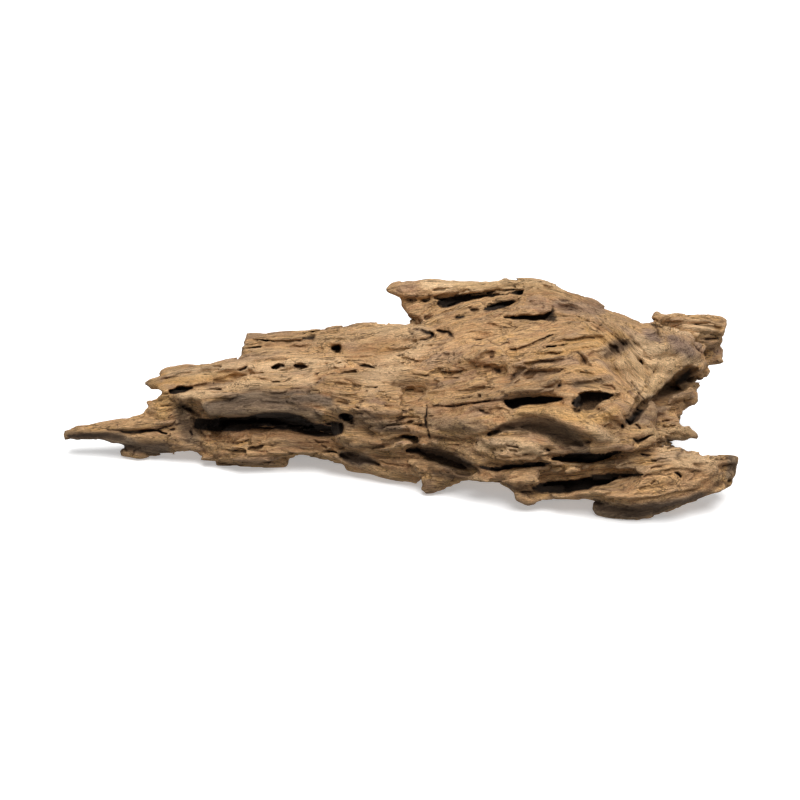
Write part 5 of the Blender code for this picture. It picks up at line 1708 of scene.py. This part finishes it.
@dataclass
class NodeBench:
    """Short ways to add the nodes that the finishes use."""

    tree: bpy.types.NodeTree

    def link(self, source: bpy.types.NodeSocket, target: bpy.types.NodeSocket) -> None:
        """Joins two sockets."""
        self.tree.links.new(source, target)

    def attribute(self, name: str, output: str) -> bpy.types.NodeSocket:
        """Returns a socket that reads values kept on the points of the mesh."""
        node = self.tree.nodes.new("ShaderNodeAttribute")
        node.attribute_name = name
        return node.outputs[output]

    def noise(
        self, vector: bpy.types.NodeSocket, stretch: tuple, detail: float, roughness: float
    ) -> bpy.types.NodeSocket:
        """Adds stretched noise.

        Args:
            vector: Coordinates in millimetres.
            stretch: Cells for each millimetre along, across and into the wood.
            detail: How many finer layers it has.
            roughness: How strong those are.

        Returns:
            The noise, about 0.5 on average.
        """
        mapping = self.tree.nodes.new("ShaderNodeMapping")
        mapping.inputs["Scale"].default_value = stretch
        self.link(vector, mapping.inputs["Vector"])
        node = self.tree.nodes.new("ShaderNodeTexNoise")
        node.inputs["Scale"].default_value = 1.0
        node.inputs["Detail"].default_value = detail
        node.inputs["Roughness"].default_value = roughness
        self.link(mapping.outputs["Vector"], node.inputs["Vector"])
        return node.outputs["Fac"]

    def math(
        self, operation: str, first: bpy.types.NodeSocket, second: object = None
    ) -> bpy.types.NodeSocket:
        """Works out one step of arithmetic.

        Args:
            operation: The kind of step, as the math node names it.
            first: A value.
            second: Another value or a number, where the step takes two.

        Returns:
            The result.
        """
        node = self.tree.nodes.new("ShaderNodeMath")
        node.operation = operation
        self.link(first, node.inputs[0])
        if isinstance(second, float):
            node.inputs[1].default_value = second
        elif second is not None:
            self.link(second, node.inputs[1])
        return node.outputs[0]

    def line(self, source: bpy.types.NodeSocket, level: float, width: float) -> bpy.types.NodeSocket:
        """Returns 1 where a value is at the level, falling to 0 at the width away from it."""
        away = self.math("ABSOLUTE", self.math("SUBTRACT", source, level))
        return self.ramp(away, width, 0.0)

    def ramp(self, source: bpy.types.NodeSocket, low: float, high: float) -> bpy.types.NodeSocket:
        """Stretches a value.

        Args:
            source: The value.
            low: What becomes 0.
            high: What becomes 1; it may be below low.

        Returns:
            The stretched value, held between 0 and 1.
        """
        node = self.tree.nodes.new("ShaderNodeMapRange")
        node.interpolation_type = "SMOOTHSTEP"
        node.inputs["From Min"].default_value = low
        node.inputs["From Max"].default_value = high
        self.link(source, node.inputs["Value"])
        return node.outputs["Result"]

    def mix(
        self, share: bpy.types.NodeSocket, first: object, second: object, most: float = 1.0
    ) -> bpy.types.NodeSocket:
        """Mixes two colours.

        Args:
            share: How much of the second colour, from 0 to 1.
            first: A colour or a socket.
            second: A colour or a socket.
            most: The most that the second colour covers.

        Returns:
            The mixed colour.
        """
        node = self.tree.nodes.new("ShaderNodeMix")
        node.data_type = "RGBA"
        if most < 1.0:
            share = self.math("MULTIPLY", share, most)
        self.link(share, node.inputs["Factor"])
        for name, colour in (("A", first), ("B", second)):
            socket = next(item for item in node.inputs if item.name == name and item.type == "RGBA")
            if isinstance(colour, tuple):
                socket.default_value = colour
            else:
                self.link(colour, socket)
        return next(item for item in node.outputs if item.type == "RGBA")

    def shade(
        self, share: bpy.types.NodeSocket, colour: bpy.types.NodeSocket, low: float, high: float
    ) -> bpy.types.NodeSocket:
        """Makes a colour darker or lighter.

        Args:
            share: From 0 to 1.
            colour: The colour.
            low: What the colour is multiplied by where the share is 0.
            high: What it is multiplied by where the share is 1.

        Returns:
            The shaded colour.
        """
        spread = self.tree.nodes.new("ShaderNodeMapRange")
        spread.inputs["To Min"].default_value = low
        spread.inputs["To Max"].default_value = high
        self.link(share, spread.inputs["Value"])
        node = self.tree.nodes.new("ShaderNodeVectorMath")
        node.operation = "SCALE"
        self.link(colour, node.inputs[0])
        self.link(spread.outputs["Result"], node.inputs["Scale"])
        return node.outputs["Vector"]


@dataclass
class Driftwood:
    """The whole piece of wood."""

    node: bpy.types.Object
    view: PictureView
    strokes: tuple = STROKES
    tints: tuple = TINTS
    growths: tuple = GROWTHS
    voxel: float = 0.7
    seen_depth: float = 4.0
    hidden_share: float = 0.42
    band: int = 20
    soft_passes: int = 5
    swell: float = 0.55
    most_triangles: int = 196_000
    spare: float = 1.0
    bulk_step: int = 3
    bulk_passes: int = 26
    wear_band: float = 6.0
    close_off: float = 1.2
    wide_off: float = 3.0
    tone_fade: tuple = (4.0, 4.0)
    stain_and_shade_fade: tuple = (12.0, 6.0)
    # Ranges of the painted shade in hollows (with some dirt) and in broad valleys, and of the painted
    # highlight on crests.
    hollow_dirt_and_shade_range: tuple = (0.3, 0.45)
    painted_valley_shade_range: tuple = (0.28, 0.4)
    crest_highlight_range: tuple = (0.22, 0.2)
    # How much the painted light takes off the painted valley shade.
    painted_light_eases_valley_shade: float = 0.75
    finish: WoodFinish = WoodFinish()

    def build(self) -> bpy.types.Object:
        """Shapes the wood and gives it its finish.

        Returns:
            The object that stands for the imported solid.
        """
        low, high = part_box(NODE)
        wood = WoodField.from_node(self.node, self.voxel, self.band)
        LOG.info("distance field: %s cells", wood.values.shape)
        wood.soften(self.soft_passes, self.swell)
        depths = DepthSheet(self.view, self.node)
        sheet = ReliefSheet(self.strokes, self.tints)
        LOG.info("strokes: %d", len(self.strokes))
        wood.push_along_view(self.view, depths, sheet)
        for growth in self.growths:
            wood.grow(self.view, growth)
        wood.trim(self.view, sheet)
        relief = Relief(self.view, GrainMap(), wood.bulk(self.bulk_step, self.bulk_passes), sheet)
        wood.add(self.wear_band, relief)
        wood.keep_inside(low, high, self.spare)
        LOG.info("wear: done")
        points, faces = wood.polygons()
        piece = self.skin(points, faces, depths, sheet)
        self.mark(piece, wood, relief, depths, sheet)
        piece.data.materials.append(self.finish.material())
        return piece

    def skin(
        self, points: np.ndarray, faces: np.ndarray, depths: DepthSheet, sheet: ReliefSheet
    ) -> bpy.types.Object:
        """Makes the mesh, and lightens the hidden sides first so that the seen side stays crisp.

        Args:
            points: Points in millimetres.
            faces: Four-sided faces.
            depths: How far the solid is from the eye.
            sheet: The painted strokes.

        Returns:
            The object of the wood.
        """
        mesh = bpy.data.meshes.new("driftwood")
        mesh.from_pydata((points * MM).astype(np.float32), [], faces)
        piece = bpy.data.objects.new("driftwood", mesh)
        bpy.context.scene.collection.objects.link(piece)
        seen = self.seen(points.astype(np.float32), depths, sheet)
        seen_triangles = 2 * int(seen[faces[:, 0]].sum())
        hidden_left = int(self.most_triangles * self.hidden_share)
        self.lighten(piece, ~seen, (seen_triangles + hidden_left) / (2 * len(faces)))
        half_way = len(piece.data.polygons)
        seen = self.seen(mesh_points(piece.data), depths, sheet)
        self.lighten(piece, seen, self.most_triangles / half_way)
        while len(piece.data.polygons) > self.most_triangles:
            self.lighten(piece, None, 0.99 * self.most_triangles / len(piece.data.polygons))
        piece.data.name = "driftwood"
        piece.data.shade_smooth()
        LOG.info("driftwood: %d, %d, %d triangles", 2 * len(faces), half_way, len(piece.data.polygons))
        return piece

    def seen(self, points: np.ndarray, depths: DepthSheet, sheet: ReliefSheet) -> np.ndarray:
        """Finds the points that face the picture.

        Args:
            points: Points in millimetres.
            depths: How far the solid is from the eye.
            sheet: The painted strokes.

        Returns:
            True for each point that is seen.
        """
        columns, rows, distance, _ = self.view.project(points)
        pushed = sheet.read(sheet.carved, columns, rows)
        return distance - depths.at(columns, rows) - pushed < self.seen_depth

    @staticmethod
    def lighten(piece: bpy.types.Object, chosen: np.ndarray | None, ratio: float) -> None:
        """Takes triangles away among the chosen points.

        Args:
            piece: The object of the wood.
            chosen: True for each point whose triangles may go, or None for all of them.
            ratio: Share of all triangles that is left.
        """
        modifier = piece.modifiers.new("lighten", "DECIMATE")
        modifier.ratio = min(1.0, ratio)
        modifier.use_collapse_triangulate = True
        if chosen is not None:
            group = piece.vertex_groups.new(name="chosen")
            group.add(np.flatnonzero(chosen).tolist(), 1.0, "REPLACE")
            modifier.vertex_group = group.name
        evaluated = piece.evaluated_get(bpy.context.evaluated_depsgraph_get())
        lighter = bpy.data.meshes.new_from_object(evaluated)
        heavy = piece.data
        piece.modifiers.clear()
        piece.vertex_groups.clear()
        piece.data = lighter
        bpy.data.meshes.remove(heavy)

    def mark(
        self, piece: bpy.types.Object, wood: WoodField, relief: Relief, depths: DepthSheet,
        sheet: ReliefSheet,
    ) -> None:
        """Keeps on each point what the finish needs: grain coordinates, painted shade for hollows (with
        some dirt) and broad valleys, a painted highlight for crests, the strokes' painted shade and stain,
        and the tints.

        Args:
            piece: The object of the wood.
            wood: Its distance field.
            relief: The wear, for the grain coordinates.
            depths: How far the solid was from the eye.
            sheet: The painted strokes.
        """
        mesh = piece.data
        points = mesh_points(mesh)
        normals = np.empty(points.size, np.float32)
        mesh.vertex_normals.foreach_get("vector", normals)
        normals = normals.reshape(-1, 3)
        near = wood.bulk(1, 6).read(points + normals * self.close_off)
        wide = wood.bulk(2, 8).read(points + normals * self.wide_off)
        columns, rows, distance, _ = self.view.project(points)
        pushed = sheet.read(sheet.carved, columns, rows)
        behind = distance - depths.at(columns, rows) - pushed
        seen = 1.0 - eased((behind - self.tone_fade[0]) / self.tone_fade[1])
        reached = 1.0 - eased((behind - self.stain_and_shade_fade[0]) / self.stain_and_shade_fade[1])
        values = {
            # Painted shade in hollows, with some dirt.
            "hollow": np.clip((near - self.hollow_dirt_and_shade_range[0]) / self.hollow_dirt_and_shade_range[1], 0.0, 1.0),
            # Painted shade in broad valleys.
            "painted_valley_shade": np.clip((wide - self.painted_valley_shade_range[0]) / self.painted_valley_shade_range[1], 0.0, 1.0),
            # Painted highlight on crests.
            "crest": np.clip((self.crest_highlight_range[0] - near) / self.crest_highlight_range[1], 0.0, 1.0),
            # Painted shade along the strokes, in places real stain.
            "stain_and_shade": sheet.read(sheet.stain_and_shade_sheet, columns, rows) * reached,
        }
        # Tints: grey ones carry painted shade, pale ones painted light.
        for tone in Tone:
            values[tone.value] = sheet.read(sheet.tones[tone], columns, rows) * seen
        # Less painted valley shade under the painted light.
        values["painted_valley_shade"] *= 1.0 - self.painted_light_eases_valley_shade * values[PALE.value]
        for name, value in values.items():
            attribute = mesh.attributes.new(name, "FLOAT", "POINT")
            attribute.data.foreach_set("value", value.astype(np.float32))
        grain = mesh.attributes.new("grain", "FLOAT_VECTOR", "POINT")
        grain.data.foreach_set("vector", relief.bent(points).ravel())


@dataclass
class Studio:
    """The floor, the light and the camera."""

    view: PictureView
    floor_side: float = 12.0
    floor_drop: float = 0.0003
    floor_colour: tuple = (0.92, 0.92, 0.92, 1.0)
    floor_glow: float = 0.35
    sky_strength: float = 0.34
    key_strength: float = 3.5
    key_spread: float = math.radians(50.0)
    key_from: tuple = (0.14, -0.28, 1.0)

    def build(self) -> None:
        """Makes the floor, the light and the camera."""
        self.floor()
        self.sky()
        self.key()
        self.camera()

    def floor(self) -> None:
        """Lays a pale floor under the wood."""
        half = self.floor_side / 2
        mesh = bpy.data.meshes.new("floor")
        corners = [(-half, -half, 0.0), (half, -half, 0.0), (half, half, 0.0), (-half, half, 0.0)]
        mesh.from_pydata(corners, [], [(0, 1, 2, 3)])
        floor = bpy.data.objects.new("floor", mesh)
        floor.location.z = -self.floor_drop
        bpy.context.scene.collection.objects.link(floor)
        material = bpy.data.materials.new("pale_floor")
        material.use_nodes = True
        shader = material.node_tree.nodes["Principled BSDF"]
        shader.inputs["Base Color"].default_value = self.floor_colour
        shader.inputs["Roughness"].default_value = 0.9
        shader.inputs["Specular IOR Level"].default_value = 0.0
        shader.inputs["Emission Color"].default_value = self.floor_colour
        shader.inputs["Emission Strength"].default_value = self.floor_glow
        mesh.materials.append(material)
        floor.visible_diffuse = False

    def sky(self) -> None:
        """Surrounds the scene with even white light."""
        world = bpy.data.worlds.new("studio")
        world.use_nodes = True
        background = world.node_tree.nodes["Background"]
        background.inputs["Color"].default_value = (1.0, 1.0, 1.0, 1.0)
        background.inputs["Strength"].default_value = self.sky_strength
        bpy.context.scene.world = world

    def key(self) -> None:
        """Hangs one broad soft light above the wood, a little to the front and right."""
        light = bpy.data.lights.new("key", "SUN")
        light.angle = self.key_spread
        light.energy = self.key_strength
        holder = bpy.data.objects.new("key", light)
        holder.location = Vector(self.key_from)
        holder.rotation_mode = "QUATERNION"
        holder.rotation_quaternion = (-Vector(self.key_from)).to_track_quat("-Z", "Y")
        bpy.context.scene.collection.objects.link(holder)

    def camera(self) -> None:
        """Sets the camera where the picture was taken."""
        data = bpy.data.cameras.new("camera")
        data.sensor_width = SENSOR_WIDTH
        data.lens = self.view.lens
        camera = bpy.data.objects.new("camera", data)
        camera.location = self.view.eye
        camera.rotation_mode = "QUATERNION"
        camera.rotation_quaternion = self.view.ahead.to_track_quat("-Z", "Y")
        bpy.context.scene.collection.objects.link(camera)
        bpy.context.scene.camera = camera
        bpy.context.scene.view_settings.view_transform = "Standard"


def main() -> None:
    """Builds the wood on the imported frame, then the studio round it."""
    logging.basicConfig(level=logging.INFO, format="%(relativeCreated)6d %(message)s")
    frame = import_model()
    view = PictureView()
    wood = Driftwood(frame["nodes"][NODE], view).build()
    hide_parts(NODE)
    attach(wood, BODY)
    LOG.info("wood: built")
    Studio(view).build()
    LOG.info("studio: built")


if __name__ == "__main__":
    main()
